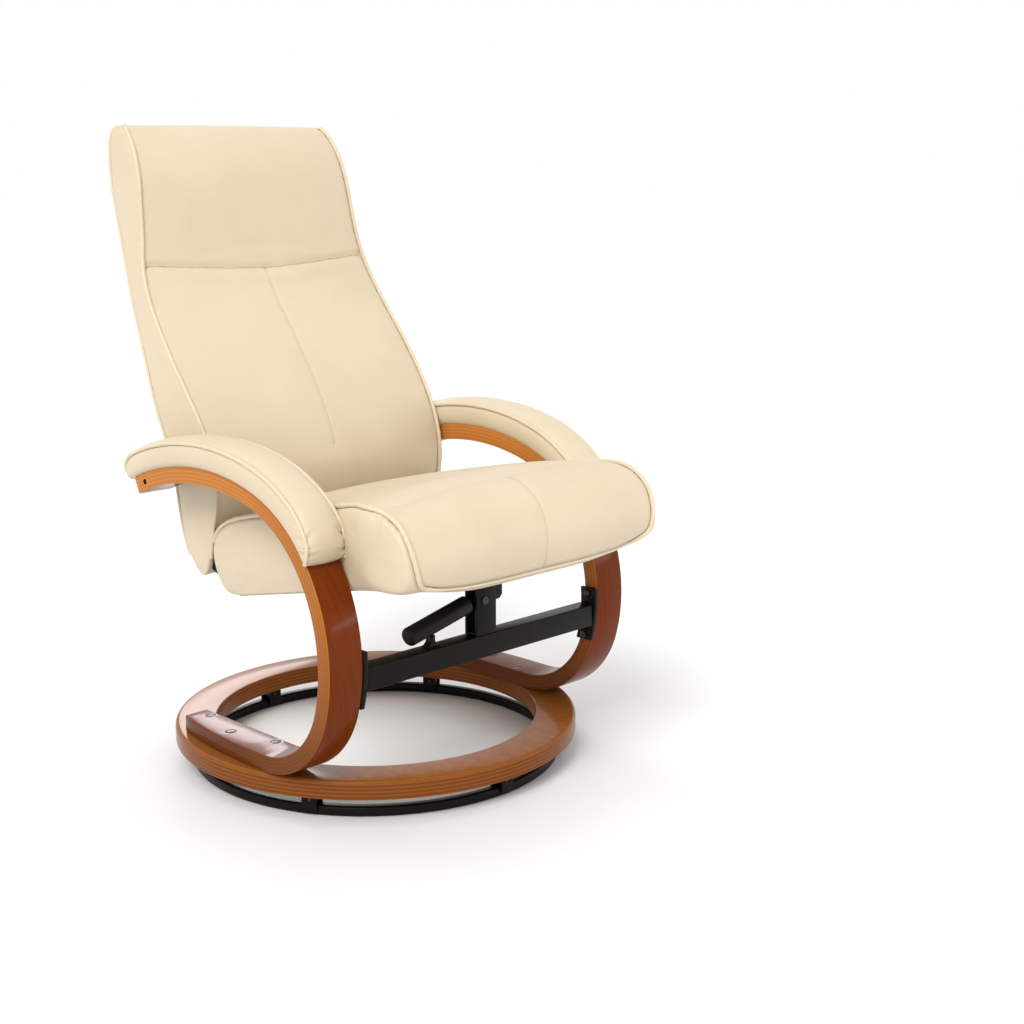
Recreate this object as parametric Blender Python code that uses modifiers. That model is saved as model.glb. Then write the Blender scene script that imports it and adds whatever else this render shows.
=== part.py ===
"""Reclining swivel armchair on a round bentwood base.

Metres, +Z up. The sitter faces -Y and the sitter's left hand is on the +X side.
The origin is on the floor, at the centre of the round base.
"""
import math

import bmesh
import bpy
from mathutils import Matrix, Vector

COLLECTION_NAME = "recliner_armchair"
GAP = 0.0003                    # clearance between pieces that touch
RUNNING_GAP = 0.0001            # clearance round a pin that turns in a hole
SLIDING_GAP = 0.0004            # clearance beside pieces that slide or turn past each other

# Base: a steel ring on the floor, rollers on it, and a plywood ring above
FLOOR_RING_RADIUS = 0.2945      # to the middle of the section
FLOOR_RING_WIDTH = 0.017
FLOOR_RING_HEIGHT = 0.016
FLOOR_RING_CORNER = 0.004
RING_GAP = 0.021                # between the steel ring and the plywood ring
WOOD_RING_OUTER = 0.330
WOOD_RING_WIDTH = 0.066
WOOD_RING_THICKNESS = 0.030
WOOD_RING_CHAMFER = 0.002

# Roller carriages under the plywood ring
CARRIAGES = 6
CARRIAGE_START = math.radians(30)
CARRIAGE_LENGTH = 0.024
CARRIAGE_WALL = 0.003
CARRIAGE_SIDE_CLEARANCE = 0.0018
CARRIAGE_REACH = 0.010          # how far the cheeks hang over the steel ring
AXLE_RADIUS = 0.003

# Arms: laminated wood bent into a C that is open to the rear
ARM_CLEARANCE = 0.0131          # from the seat's side to the arm
ARM_WIDTH = 0.0616
ARM_THICKNESS = 0.027
ARM_EDGE_ROUND = 0.003
ARM_FOOT_FRONT_Y = -0.100       # where the flat foot starts to bend upwards
ARM_FOOT_LENGTH = 0.230
ARM_FOOT_TAPER_FROM = -0.050    # the foot's outer side curves in towards its rear end
ARM_FOOT_TAPER_RADIUS = 0.820
ARM_BENDS = ((0.148, 74.0), (0.248, 47.7), (0.219, 43.6), (0.440, 38.8))
ARM_STEP = math.radians(7)

# Foot fixings
FOOT_SCREW_INWARDS = 0.0174     # from the arm's middle
FOOT_SCREW_Y = (0.101, -0.070)
FOOT_PLUG_OUTWARDS = 0.0036
FOOT_PLUG_Y = 0.0165
SCREW_HEAD_RADIUS = 0.0080
SCREW_HEAD_DEPTH = 0.005
SCREW_HEAD_SUNK = 0.001
SCREW_SHANK_RADIUS = 0.0035
SCREW_BITE = 0.022              # how far the shank goes into the plywood ring
PLUG_RADIUS = 0.0085
PLUG_DEPTH = 0.007

# Arm pads
PAD_LENGTH = 0.452              # along the arm, from its front end to the arm's rear end
PAD_OVERHANG = 0.014            # past the arm's rear end
PAD_WIDTH = 0.0765
PAD_HEIGHT = 0.048
PAD_OUTWARDS = 0.0016           # the pad's middle, from the arm's middle
PAD_FRONT_TAPER = 0.052
PAD_REAR_ROUND = 0.034
PAD_STATIONS = 13
PAD_SECTION_POINTS = 14
PAD_SQUARENESS = 3.4

# Cross bar between the arms, with its end flanges
BAR_CENTRE_Y = -0.249
BAR_BOTTOM_Z = 0.214
BAR_HEIGHT = 0.036
BAR_DEPTH = 0.030
BAR_WALL = 0.002
FLANGE_THICKNESS = 0.008
FLANGE_BOTTOM_Z = 0.1875
FLANGE_TOP_Z = 0.276
FLANGE_PROUD = 0.002            # past each face of the arm
GUSSET_LENGTH = 0.018
GUSSET_HEIGHT = 0.009
GUSSET_THICKNESS = 0.006
FLANGE_BOLT_RADIUS = 0.0035
FLANGE_BOLT_HEAD = 0.0058
FLANGE_BOLT_HEAD_HEIGHT = 0.004
FLANGE_BOLT_LENGTH = 0.030
FLANGE_BOLT_EDGE = 0.009        # from the flange's end to the bolt

# Back pivot on the arms and hinge between back and seat
PIVOT_FROM_END = 0.026          # from the arm's rear end to the pivot
PIVOT_HEAD_RADIUS = 0.005
PIVOT_HEAD_SUNK = 0.002
PIVOT_SHOULDER_RADIUS = 0.009
PIVOT_PIN_RADIUS = 0.004
HINGE_DROP = 0.118              # from the pivot down to the seat hinge
HINGE_FORWARD = 0.018
HINGE_PIN_RADIUS = 0.004
HINGE_HEAD_RADIUS = 0.0065
HINGE_HEAD_HEIGHT = 0.002
HINGE_CLEARANCE = 0.0026        # the seat runs straight, the back's hinge on an arc
BACK_PLATE_INSET = 0.0045       # from the seat's side to the plate's inner face
BACK_PLATE_THICKNESS = 0.005
BACK_PLATE_HALF_WIDTH = 0.009
BACK_PLATE_ABOVE_PIVOT = 0.030
RECLINE = math.radians(20)

# Seat
SEAT_REAR_Y = 0.064
SEAT_REAR_Z = 0.292
SEAT_TILT = math.radians(12.3)
SEAT_HALF_WIDTH = 0.2355
SEAT_FRONT_FLARE = 0.0145       # in front of the arms
SEAT_FLARE_FROM = 0.350
SEAT_FLARE_LENGTH = 0.030
SEAT_SIDE_BULGE = 0.0035
SEAT_CROWN = 0.024
SEAT_BOARD_THICKNESS = 0.014
SEAT_BOARD_INSET = 0.0117
SEAT_BOARD_FROM = 0.006
SEAT_BOARD_TO = 0.405
SEAT_RAIL_THICKNESS = 0.006
SEAT_RAIL_TO = 0.340
SEAT_PROFILE = (                # along the seat, up from its underside, crown share
    (0.005, 0.000, 0.0), (-0.020, 0.014, 0.0), (-0.034, 0.048, 0.0), (-0.030, 0.090, 0.0),
    (-0.004, 0.114, 0.3), (0.060, 0.1225, 0.9), (0.160, 0.1215, 1.0), (0.250, 0.1220, 1.0),
    (0.330, 0.1225, 1.0), (0.375, 0.1205, 1.0), (0.412, 0.112, 0.9), (0.443, 0.094, 0.85),
    (0.460, 0.062, 0.8), (0.461, 0.028, 0.7), (0.450, -0.004, 0.35), (0.425, -0.015, 0.15),
    (0.365, -0.009, 0.0), (0.330, -0.003, 0.0), (0.180, 0.000, 0.0))

# Slide under the seat
SLIDE_Z = 0.345                 # underside of the slide plate, above the bar
SLIDE_PLATE_THICKNESS = 0.004
SLIDE_PLATE_HALF_WIDTH = 0.058
SLIDE_REAR = -0.070
SLIDE_FRONT = 0.054
CHANNEL_WIDTH = 0.044
CHANNEL_HEIGHT = 0.015
CHANNEL_WALL = 0.0025
CHANNEL_SLOT = 0.013
CHANNEL_LENGTH = 0.100
CHANNEL_CLEARANCE = 0.0013      # from the lips to the slide plate
RAIL_WEB = 0.010
RAIL_FOOT = 0.005
SEAT_BRACKET_X = 0.050
SEAT_BRACKET_THICKNESS = 0.012
BRACKET_WALL = 0.004
BRACKET_HALF_WIDTH = 0.021
BRACKET_DEPTH = 0.026

# Release lever
LEVER_PIVOT_X = -0.004
LEVER_PIVOT_Z = 0.3045
LEVER_THICKNESS = 0.008
LEVER_BAR_HEIGHT = 0.012
LEVER_BOSS = 0.008
LEVER_TOE = 0.031               # from the pin to the toe, on the far side of the bracket
LEVER_RISE = math.radians(13)
GRIP_END_X = -0.151
GRIP_END_Z = 0.2725
GRIP_RADIUS = 0.0145
GRIP_LENGTH = 0.124
TANG_LENGTH = 0.070             # inside the grip
TANG_NECK = 0.004               # between the grip and the boss
LEVER_PIN_RADIUS = 0.004
LEVER_PIN_HEAD = 0.0065
LEVER_PIN_HEAD_HEIGHT = 0.002
BRAKE_PAD_DEPTH = 0.020
BRAKE_PAD_WIDTH = 0.016
SPRING_WIRE_RADIUS = 0.0006
SPRING_RADIUS = 0.0068
SPRING_TURNS = 2
REST_X = -0.104                 # the lug that the grip rests on
REST_WALL = 0.002
REST_NECK = 0.007
REST_FILLET = 0.009
REST_DEPTH = 0.014

# Back, from the bottom up: front y, front z, rear y, rear z of each section, and its half
# width as a share of the seat's
BACK_SECTIONS = (
    (0.131, 0.313, 0.146, 0.311, 0.9490), (0.119, 0.350, 0.174, 0.346, 0.9490),
    (0.111, 0.395, 0.193, 0.388, 0.9490), (0.099, 0.440, 0.199, 0.435, 0.9490),
    (0.099, 0.492, 0.211, 0.485, 0.9512), (0.124, 0.550, 0.229, 0.530, 1.0021),
    (0.168, 0.613, 0.248, 0.574, 1.0191), (0.209, 0.665, 0.265, 0.625, 1.0191),
    (0.250, 0.718, 0.293, 0.688, 1.0000), (0.2765, 0.760, 0.3175, 0.738, 0.9788),
    (0.2925, 0.797, 0.339, 0.782, 0.9554), (0.3010, 0.843, 0.360, 0.833, 0.9299),
    (0.3080, 0.888, 0.379, 0.876, 0.9130), (0.3140, 0.930, 0.392, 0.914, 0.8981),
    (0.3290, 0.970, 0.401, 0.955, 0.8832), (0.3500, 0.997, 0.4055, 0.990, 0.8684),
    (0.3700, 1.0155, 0.4000, 1.0125, 0.8386))
BACK_ACROSS = (-1.0, -0.82, -0.45, -0.10, 0.0, 0.10, 0.45, 0.82, 1.0)
BACK_REAR_ACROSS = (1.0, 0.75, 0.25, -0.25, -0.75, -1.0)
BACK_CROWN = 0.009
BACK_SIDE_BULGE = 0.004
BACK_SEAM_DEPTH = 0.005
BACK_SEAM_SECTION = 10          # the seam under the head part
BACK_BOARD_FIRST = 3
BACK_BOARD_LAST = 13
BACK_COVER_FIRST = 1
BACK_COVER_LAST = 14
BACK_WIDE_FROM = 5              # below this section the board reaches the side plates
BACK_EDGE = 0.012
BACK_COVER_THICKNESS = 0.012
BACK_BOARD_THICKNESS = 0.014
BACK_BOARD_INSET = 0.004

# Colours: red, green, blue, roughness, metallic
LEATHER = (0.83, 0.74, 0.58, 0.45, 0.0)
LACQUERED_WOOD = (0.45, 0.16, 0.04, 0.30, 0.0)
PLYWOOD = (0.50, 0.32, 0.16, 0.70, 0.0)
BLACK_STEEL = (0.02, 0.018, 0.018, 0.35, 0.4)
BRIGHT_STEEL = (0.55, 0.55, 0.56, 0.30, 1.0)
BLACK_PLASTIC = (0.02, 0.02, 0.02, 0.55, 0.0)
FRICTION_LINING = (0.12, 0.09, 0.07, 0.90, 0.0)

# Heights and faces that follow from the sizes above
ARM_CENTRE_X = SEAT_HALF_WIDTH + ARM_CLEARANCE + ARM_WIDTH / 2
PAD_CENTRE_X = ARM_CENTRE_X + PAD_OUTWARDS
FOOT_SCREW_X = ARM_CENTRE_X - FOOT_SCREW_INWARDS
FOOT_PLUG_X = ARM_CENTRE_X + FOOT_PLUG_OUTWARDS
BACK_PLATE_INNER_X = SEAT_HALF_WIDTH - BACK_PLATE_INSET
SEAT_BOARD_HALF_WIDTH = SEAT_HALF_WIDTH - SEAT_BOARD_INSET
WOOD_RING_BOTTOM = FLOOR_RING_HEIGHT + RING_GAP
WOOD_RING_TOP = WOOD_RING_BOTTOM + WOOD_RING_THICKNESS
FOOT_CENTRE_Z = WOOD_RING_TOP + GAP + ARM_THICKNESS / 2
FOOT_TOP_Z = FOOT_CENTRE_Z + ARM_THICKNESS / 2
ARM_INNER_X = ARM_CENTRE_X - ARM_WIDTH / 2
ARM_OUTER_X = ARM_CENTRE_X + ARM_WIDTH / 2
BAR_TOP_Z = BAR_BOTTOM_Z + BAR_HEIGHT
ROLLER_RADIUS = (RING_GAP - CARRIAGE_WALL - 3 * GAP) / 2
ROLLER_CENTRE_Z = FLOOR_RING_HEIGHT + GAP + ROLLER_RADIUS
FLANGE_INNER_X = ARM_INNER_X - GAP - FLANGE_THICKNESS
BACK_PLATE_OUTER_X = BACK_PLATE_INNER_X + BACK_PLATE_THICKNESS
SEAT_RAIL_OUTER_X = BACK_PLATE_INNER_X - GAP
SEAT_RAIL_INNER_X = SEAT_RAIL_OUTER_X - SEAT_RAIL_THICKNESS
SIDES = (("right", -1), ("left", 1))

# Turns that lay a drawing in local XY onto a plane of the chair
SIDE_PLANE = (math.pi / 2, 0, math.pi / 2)      # drawn as y, z and thick along X
FRONT_PLANE = (math.pi / 2, 0, 0)               # drawn as x, z and thick along Y
ALONG_X = (0, math.pi / 2, 0)                   # a turned piece's axis laid along +X
ALONG_Y = (-math.pi / 2, 0, 0)                  # a turned piece's axis laid along +Y


# ---------------------------------------------------------------- helpers

def clear_scene():
    for scene_object in list(bpy.data.objects):
        bpy.data.objects.remove(scene_object, do_unlink=True)


def new_collection(name):
    collection = bpy.data.collections.new(name)
    bpy.context.scene.collection.children.link(collection)
    return collection


def finish(name, colour):
    material = bpy.data.materials.new(name)
    material.use_nodes = True
    shader = material.node_tree.nodes["Principled BSDF"]
    shader.inputs["Base Color"].default_value = (*colour[:3], 1)
    shader.inputs["Roughness"].default_value = colour[3]
    shader.inputs["Metallic"].default_value = colour[4]
    return material


def place(name, data, colour, location=(0, 0, 0), rotation=(0, 0, 0)):
    """Put a mesh or curve in the chair's collection with its own material."""
    piece = bpy.data.objects.new(name, data)
    piece.location = location
    piece.rotation_euler = rotation
    data.materials.append(finish(name, colour))
    PARTS.objects.link(piece)
    return piece


def as_cutter(piece):
    PARTS.objects.unlink(piece)
    CUTTERS.objects.link(piece)
    piece.hide_render = True
    piece.display_type = "WIRE"
    return piece


def combine(piece, other, operation="DIFFERENCE"):
    boolean = piece.modifiers.new(operation.lower(), "BOOLEAN")
    boolean.object = as_cutter(other) if other.name in PARTS.objects else other
    boolean.operation = operation
    boolean.solver = "EXACT"


def round_edges(piece, width, segments=1):
    bevel = piece.modifiers.new("rounded edges", "BEVEL")
    bevel.width = width
    bevel.segments = segments
    bevel.limit_method = "ANGLE"
    bevel.angle_limit = math.radians(40)


def mesh_of(curve_piece):
    """Swap a curve object for a closed mesh object of the same name and place."""
    bpy.context.view_layer.update()
    evaluated = curve_piece.evaluated_get(bpy.context.evaluated_depsgraph_get())
    mesh = bpy.data.meshes.new_from_object(evaluated)
    shape = bmesh.new()
    shape.from_mesh(mesh)
    bmesh.ops.remove_doubles(shape, verts=shape.verts, dist=0.00001)
    shape.to_mesh(mesh)
    shape.free()
    name = curve_piece.name
    world = curve_piece.matrix_world.copy()
    bpy.data.objects.remove(curve_piece)
    piece = bpy.data.objects.new(name, mesh)
    piece.matrix_world = world
    PARTS.objects.link(piece)
    return piece


def plate(name, outlines, thickness, colour, location=(0, 0, 0), rotation=SIDE_PLANE):
    """A flat piece: one closed outline, or an outline and the holes in it."""
    curve = bpy.data.curves.new(name, "CURVE")
    curve.dimensions = "2D"
    curve.fill_mode = "BOTH"
    curve.extrude = thickness / 2
    for outline in outlines:
        spline = curve.splines.new("POLY")
        spline.points.add(len(outline) - 1)
        for point, (across, up) in zip(spline.points, outline):
            point.co = (across, up, 0, 1)
        spline.use_cyclic_u = True
    return mesh_of(place(name, curve, colour, location, rotation))


def turned(name, profile, colour, location=(0, 0, 0), rotation=(0, 0, 0), steps=24, ring=False):
    """A lathe-turned piece; the profile runs down its outer side."""
    mesh = bpy.data.meshes.new(name)
    shape = bmesh.new()
    corners = [shape.verts.new((radius, 0, height)) for radius, height in profile]
    for start, end in zip(corners, corners[1:] + corners[:1] if ring else corners[1:]):
        shape.edges.new((start, end))
    shape.to_mesh(mesh)
    shape.free()
    piece = place(name, mesh, colour, location, rotation)
    screw = piece.modifiers.new("turned", "SCREW")
    screw.steps = steps
    screw.render_steps = steps
    screw.use_merge_vertices = True
    screw.merge_threshold = 0.00001
    return piece


def pin_profile(steps_down):
    """Profile of a stepped pin from (radius, from height, to height), top to bottom."""
    profile = [(0, steps_down[0][1])]
    for radius, top, bottom in steps_down:
        profile += [(radius, top), (radius, bottom)]
    return profile + [(0, steps_down[-1][2])]


def loft(name, rings, colour, smooth_levels=0):
    """A closed skin through rings of equal length; it is closed across both ends."""
    mesh = bpy.data.meshes.new(name)
    shape = bmesh.new()
    loops = [[shape.verts.new(point) for point in ring] for ring in rings]
    for lower, upper in zip(loops, loops[1:]):
        for index in range(len(lower)):
            after = (index + 1) % len(lower)
            shape.faces.new((lower[index], lower[after], upper[after], upper[index]))
    shape.faces.new(list(reversed(loops[0])))
    shape.faces.new(loops[-1])
    bmesh.ops.recalc_face_normals(shape, faces=shape.faces)
    shape.to_mesh(mesh)
    shape.free()
    piece = place(name, mesh, colour)
    if smooth_levels:
        mesh.shade_smooth()
        smooth = piece.modifiers.new("soft form", "SUBSURF")
        smooth.levels = smooth_levels
        smooth.render_levels = smooth_levels
    return piece


def joint_empty(name, location):
    """An empty on a joint's axis, which carries what moves with that joint."""
    empty = bpy.data.objects.new(name, None)
    empty.location = location
    PARTS.objects.link(empty)
    return empty


def carry(empty, pieces):
    bpy.context.view_layer.update()
    for piece in pieces:
        piece.parent = empty
        piece.matrix_parent_inverse = empty.matrix_world.inverted()


# ---------------------------------------------------------------- lines the pieces share

def arm_line(offset=0.0):
    """The arm's side outline at a distance from its middle, outwards, from foot to rear end."""
    y, z, heading = ARM_FOOT_FRONT_Y, FOOT_CENTRE_Z, math.pi
    line = [(y + ARM_FOOT_LENGTH, z - offset), (y, z - offset)]
    for radius, sweep in ARM_BENDS:
        centre_y = y + radius * math.sin(heading)
        centre_z = z - radius * math.cos(heading)
        sweep = math.radians(sweep)
        count = math.ceil(sweep / ARM_STEP)
        for step in range(1, count + 1):
            turn = heading - sweep * step / count
            reach = radius + offset
            line.append((centre_y - reach * math.sin(turn), centre_z + reach * math.cos(turn)))
        heading -= sweep
        y = centre_y - radius * math.sin(heading)
        z = centre_z + radius * math.cos(heading)
    return line


def arm_place(from_end):
    """Middle of the arm at a distance before its rear end: y, z, and the outward direction."""
    remaining = from_end
    bends = [(radius, math.radians(sweep)) for radius, sweep in ARM_BENDS]
    heading = math.pi - sum(sweep for radius, sweep in bends)
    y, z = arm_line()[-1]
    if remaining < 0:
        y -= remaining * math.cos(heading)
        z -= remaining * math.sin(heading)
        return y, z, (-math.sin(heading), math.cos(heading))
    for radius, sweep in reversed(bends):
        turn = min(sweep, remaining / radius)
        centre_y = y + radius * math.sin(heading)
        centre_z = z - radius * math.cos(heading)
        heading += turn
        y = centre_y - radius * math.sin(heading)
        z = centre_z + radius * math.cos(heading)
        remaining -= turn * radius
    return y, z, (-math.sin(heading), math.cos(heading))


def arm_front_at(height):
    """Middle of the arm's front at a height: y."""
    line = arm_line()
    for (y0, z0), (y1, z1) in zip(line[1:], line[2:]):
        if z0 <= height <= z1:
            return y0 + (y1 - y0) * (height - z0) / (z1 - z0)
    raise ValueError("the arm has no front at this height")


PIVOT_Y, PIVOT_Z, PIVOT_OUT = arm_place(PIVOT_FROM_END)
HINGE_Y = PIVOT_Y - HINGE_FORWARD
HINGE_Z = PIVOT_Z - HINGE_DROP


def hinge_after(recline):
    """Where the hinge under the back goes when the back leans further back."""
    across, up = HINGE_Y - PIVOT_Y, HINGE_Z - PIVOT_Z
    turned_y = PIVOT_Y + across * math.cos(recline) + up * math.sin(recline)
    turned_z = PIVOT_Z - across * math.sin(recline) + up * math.cos(recline)
    return turned_y, turned_z


SLIDE_TRAVEL = math.dist((HINGE_Y, HINGE_Z), hinge_after(RECLINE))
SLIDE_TILT = math.atan2(hinge_after(RECLINE)[1] - HINGE_Z, HINGE_Y - hinge_after(RECLINE)[0])


def seat_point(along, up):
    """y, z of a point given along the seat from its rear and up from its underside."""
    y = SEAT_REAR_Y - along * math.cos(SEAT_TILT) + up * math.sin(SEAT_TILT)
    z = SEAT_REAR_Z + along * math.sin(SEAT_TILT) + up * math.cos(SEAT_TILT)
    return y, z


def seat_underside(y):
    return SEAT_REAR_Z + (SEAT_REAR_Y - y) * math.tan(SEAT_TILT) - GAP / math.cos(SEAT_TILT)


def slide_point(along, up):
    """y, z of a point along the slide and up from the slide plate's underside."""
    y = BAR_CENTRE_Y - along * math.cos(SLIDE_TILT) + up * math.sin(SLIDE_TILT)
    z = SLIDE_Z + along * math.sin(SLIDE_TILT) + up * math.cos(SLIDE_TILT)
    return y, z


def slide_height(y, up):
    """z of the line parallel to the slide, at a distance up from its plate's underside."""
    return SLIDE_Z + (BAR_CENTRE_Y - y) * math.tan(SLIDE_TILT) + up / math.cos(SLIDE_TILT)


def circle(centre, radius, count=20, start=0.0, sweep=2 * math.pi):
    """Points round a circle, or along an arc of it with both its ends."""
    closed = sweep >= 2 * math.pi
    spans = count if closed else count - 1
    return [(centre[0] + radius * math.cos(start + sweep * step / spans),
             centre[1] + radius * math.sin(start + sweep * step / spans)) for step in range(count)]


# ---------------------------------------------------------------- base

def floor_ring():
    half, corner = FLOOR_RING_WIDTH / 2, FLOOR_RING_CORNER
    corners = ((half - corner, FLOOR_RING_HEIGHT - corner, math.pi / 2),
               (half - corner, corner, 0),
               (corner - half, corner, -math.pi / 2),
               (corner - half, FLOOR_RING_HEIGHT - corner, -math.pi))
    profile = []
    for x, z, start in corners:
        profile += circle((FLOOR_RING_RADIUS + x, z), corner, 3, start, -math.pi / 2)
    return turned("floor_ring", profile, BLACK_STEEL, steps=72, ring=True)


def wood_ring():
    inner, chamfer = WOOD_RING_OUTER - WOOD_RING_WIDTH, WOOD_RING_CHAMFER
    top, bottom = WOOD_RING_TOP, WOOD_RING_BOTTOM
    profile = ((inner + chamfer, top), (WOOD_RING_OUTER - chamfer, top),
               (WOOD_RING_OUTER, top - chamfer), (WOOD_RING_OUTER, bottom + chamfer),
               (WOOD_RING_OUTER - chamfer, bottom), (inner + chamfer, bottom),
               (inner, bottom + chamfer), (inner, top - chamfer))
    ring = turned("wood_ring", profile, LACQUERED_WOOD, steps=96, ring=True)
    for label, side in SIDES:
        for index, y in enumerate(FOOT_SCREW_Y):
            combine(ring, foot_hole(f"ring_hole_{label}_{index}", side, y, WOOD_RING_TOP + GAP))
    return ring


def foot_hole(name, side, y, top):
    """A cutter for the shank of a foot screw."""
    radius = SCREW_SHANK_RADIUS + GAP
    bottom = WOOD_RING_TOP - SCREW_BITE - GAP
    profile = pin_profile([(radius, top, bottom)])
    return turned(name, profile, BRIGHT_STEEL, (side * FOOT_SCREW_X, y, 0), steps=16)


def carriages():
    """The roller housings under the plywood ring, each over its roller."""
    inner = FLOOR_RING_WIDTH / 2 + CARRIAGE_SIDE_CLEARANCE
    outer = inner + CARRIAGE_WALL
    roof = WOOD_RING_BOTTOM - GAP
    foot = FLOOR_RING_HEIGHT - CARRIAGE_REACH
    ceiling = roof - CARRIAGE_WALL
    outline = ((-outer, foot), (-inner, foot), (-inner, ceiling), (inner, ceiling),
               (inner, foot), (outer, foot), (outer, roof), (-outer, roof))
    housings, rollers = [], []
    for index in range(CARRIAGES):
        angle = CARRIAGE_START + 2 * math.pi * index / CARRIAGES
        x, y = FLOOR_RING_RADIUS * math.cos(angle), FLOOR_RING_RADIUS * math.sin(angle)
        number = index + 1
        housing = plate(f"roller_housing_{number}", [outline], CARRIAGE_LENGTH, BLACK_STEEL,
                        (x, y, 0), (math.pi / 2, 0, angle))
        axis = (0, math.pi / 2, angle)
        hole = turned(f"axle_hole_{number}",
                      pin_profile([(AXLE_RADIUS + RUNNING_GAP, 2 * outer, -2 * outer)]),
                      BRIGHT_STEEL, (x, y, ROLLER_CENTRE_Z), axis, steps=16)
        combine(housing, hole)
        half = inner - SLIDING_GAP
        rim = ROLLER_RADIUS - 0.001
        stub = outer - GAP
        profile = ((0, stub), (AXLE_RADIUS, stub), (AXLE_RADIUS, half), (rim, half),
                   (ROLLER_RADIUS, half - 0.001), (ROLLER_RADIUS, 0.001 - half), (rim, -half),
                   (AXLE_RADIUS, -half), (AXLE_RADIUS, -stub), (0, -stub))
        rollers.append(turned(f"roller_{number}", profile, BLACK_PLASTIC,
                              (x, y, ROLLER_CENTRE_Z), axis, steps=20))
        housings.append(housing)
    return housings, rollers


def arm_strip(name, side, colour, grow=0.0, longer=0.0):
    outer = arm_line(ARM_THICKNESS / 2 + grow)
    inner = arm_line(-ARM_THICKNESS / 2 - grow)
    if longer:
        out = Vector(arm_place(0)[2])
        along = Vector((out.y, -out.x)) * longer
        outer.append(tuple(Vector(outer[-1]) + along))
        inner.append(tuple(Vector(inner[-1]) + along))
    return plate(name, [outer + inner[::-1]], ARM_WIDTH + 2 * grow, colour,
                 (side * ARM_CENTRE_X, 0, 0))


def foot_trim(name, side):
    """A cutter for the curved outer side of the arm's foot."""
    start, radius = ARM_FOOT_TAPER_FROM, ARM_FOOT_TAPER_RADIUS
    end = ARM_FOOT_FRONT_Y + ARM_FOOT_LENGTH + 0.02
    outline = [(side * (ARM_OUTER_X + 0.02), end), (side * (ARM_OUTER_X + 0.02), start)]
    for step in range(9):
        y = start + (end - start) * step / 8
        inwards = radius - math.sqrt(radius ** 2 - (y - start) ** 2)
        outline.append((side * (ARM_OUTER_X - inwards), y))
    return plate(name, [outline], 2 * ARM_THICKNESS, LACQUERED_WOOD, (0, 0, FOOT_CENTRE_Z),
                 (0, 0, 0))


def arm(label, side):
    """One bent arm with its foot holes, the flange bolt holes and the pivot hole."""
    frame = arm_strip(f"arm_frame_{label}", side, LACQUERED_WOOD)
    round_edges(frame, ARM_EDGE_ROUND)
    combine(frame, foot_trim(f"foot_trim_{label}", side))
    pieces = [frame]
    sunk = FOOT_TOP_Z - SCREW_HEAD_SUNK
    for index, y in enumerate(FOOT_SCREW_Y):
        head_hole = pin_profile([
            (SCREW_HEAD_RADIUS + GAP, FOOT_TOP_Z + 0.01, sunk - SCREW_HEAD_DEPTH - GAP),
            (SCREW_SHANK_RADIUS + GAP, sunk - SCREW_HEAD_DEPTH - GAP, WOOD_RING_TOP - 0.01)])
        combine(frame, turned(f"foot_hole_{label}_{index}", head_hole, BRIGHT_STEEL,
                              (side * FOOT_SCREW_X, y, 0), steps=20))
        screw = pin_profile([
            (SCREW_HEAD_RADIUS, sunk, sunk - SCREW_HEAD_DEPTH),
            (SCREW_SHANK_RADIUS, sunk - SCREW_HEAD_DEPTH, WOOD_RING_TOP - SCREW_BITE)])
        pieces.append(turned(f"foot_screw_{label}_{index + 1}", screw, BLACK_STEEL,
                             (side * FOOT_SCREW_X, y, 0), steps=20))
    plug_place = (side * FOOT_PLUG_X, FOOT_PLUG_Y, 0)
    plug_hole = pin_profile([(PLUG_RADIUS + GAP, FOOT_TOP_Z + 0.01,
                              FOOT_TOP_Z - PLUG_DEPTH - GAP)])
    combine(frame, turned(f"plug_hole_{label}", plug_hole, LACQUERED_WOOD, plug_place, steps=20))
    plug = pin_profile([(PLUG_RADIUS, FOOT_TOP_Z, FOOT_TOP_Z - PLUG_DEPTH)])
    pieces.append(turned(f"foot_plug_{label}", plug, LACQUERED_WOOD, plug_place, steps=20))
    for name, height in flange_bolts(label):
        hole = pin_profile([(FLANGE_BOLT_RADIUS + GAP, FLANGE_BOLT_LENGTH + GAP, -0.01)])
        combine(frame, turned(name + "_hole", hole, BRIGHT_STEEL,
                              (side * ARM_INNER_X, arm_front_at(height), height),
                              (0, side * math.pi / 2, 0), steps=16))
    pivot_hole = pin_profile([(PIVOT_HEAD_RADIUS + GAP, ARM_WIDTH, -ARM_WIDTH)])
    combine(frame, turned(f"pivot_hole_{label}", pivot_hole, BRIGHT_STEEL,
                          (side * ARM_CENTRE_X, PIVOT_Y, PIVOT_Z), ALONG_X, steps=20))
    return pieces


def flange_bolts(label):
    return ((f"flange_bolt_{label}_lower", FLANGE_BOTTOM_Z + FLANGE_BOLT_EDGE),
            (f"flange_bolt_{label}_upper", FLANGE_TOP_Z - FLANGE_BOLT_EDGE))


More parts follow.
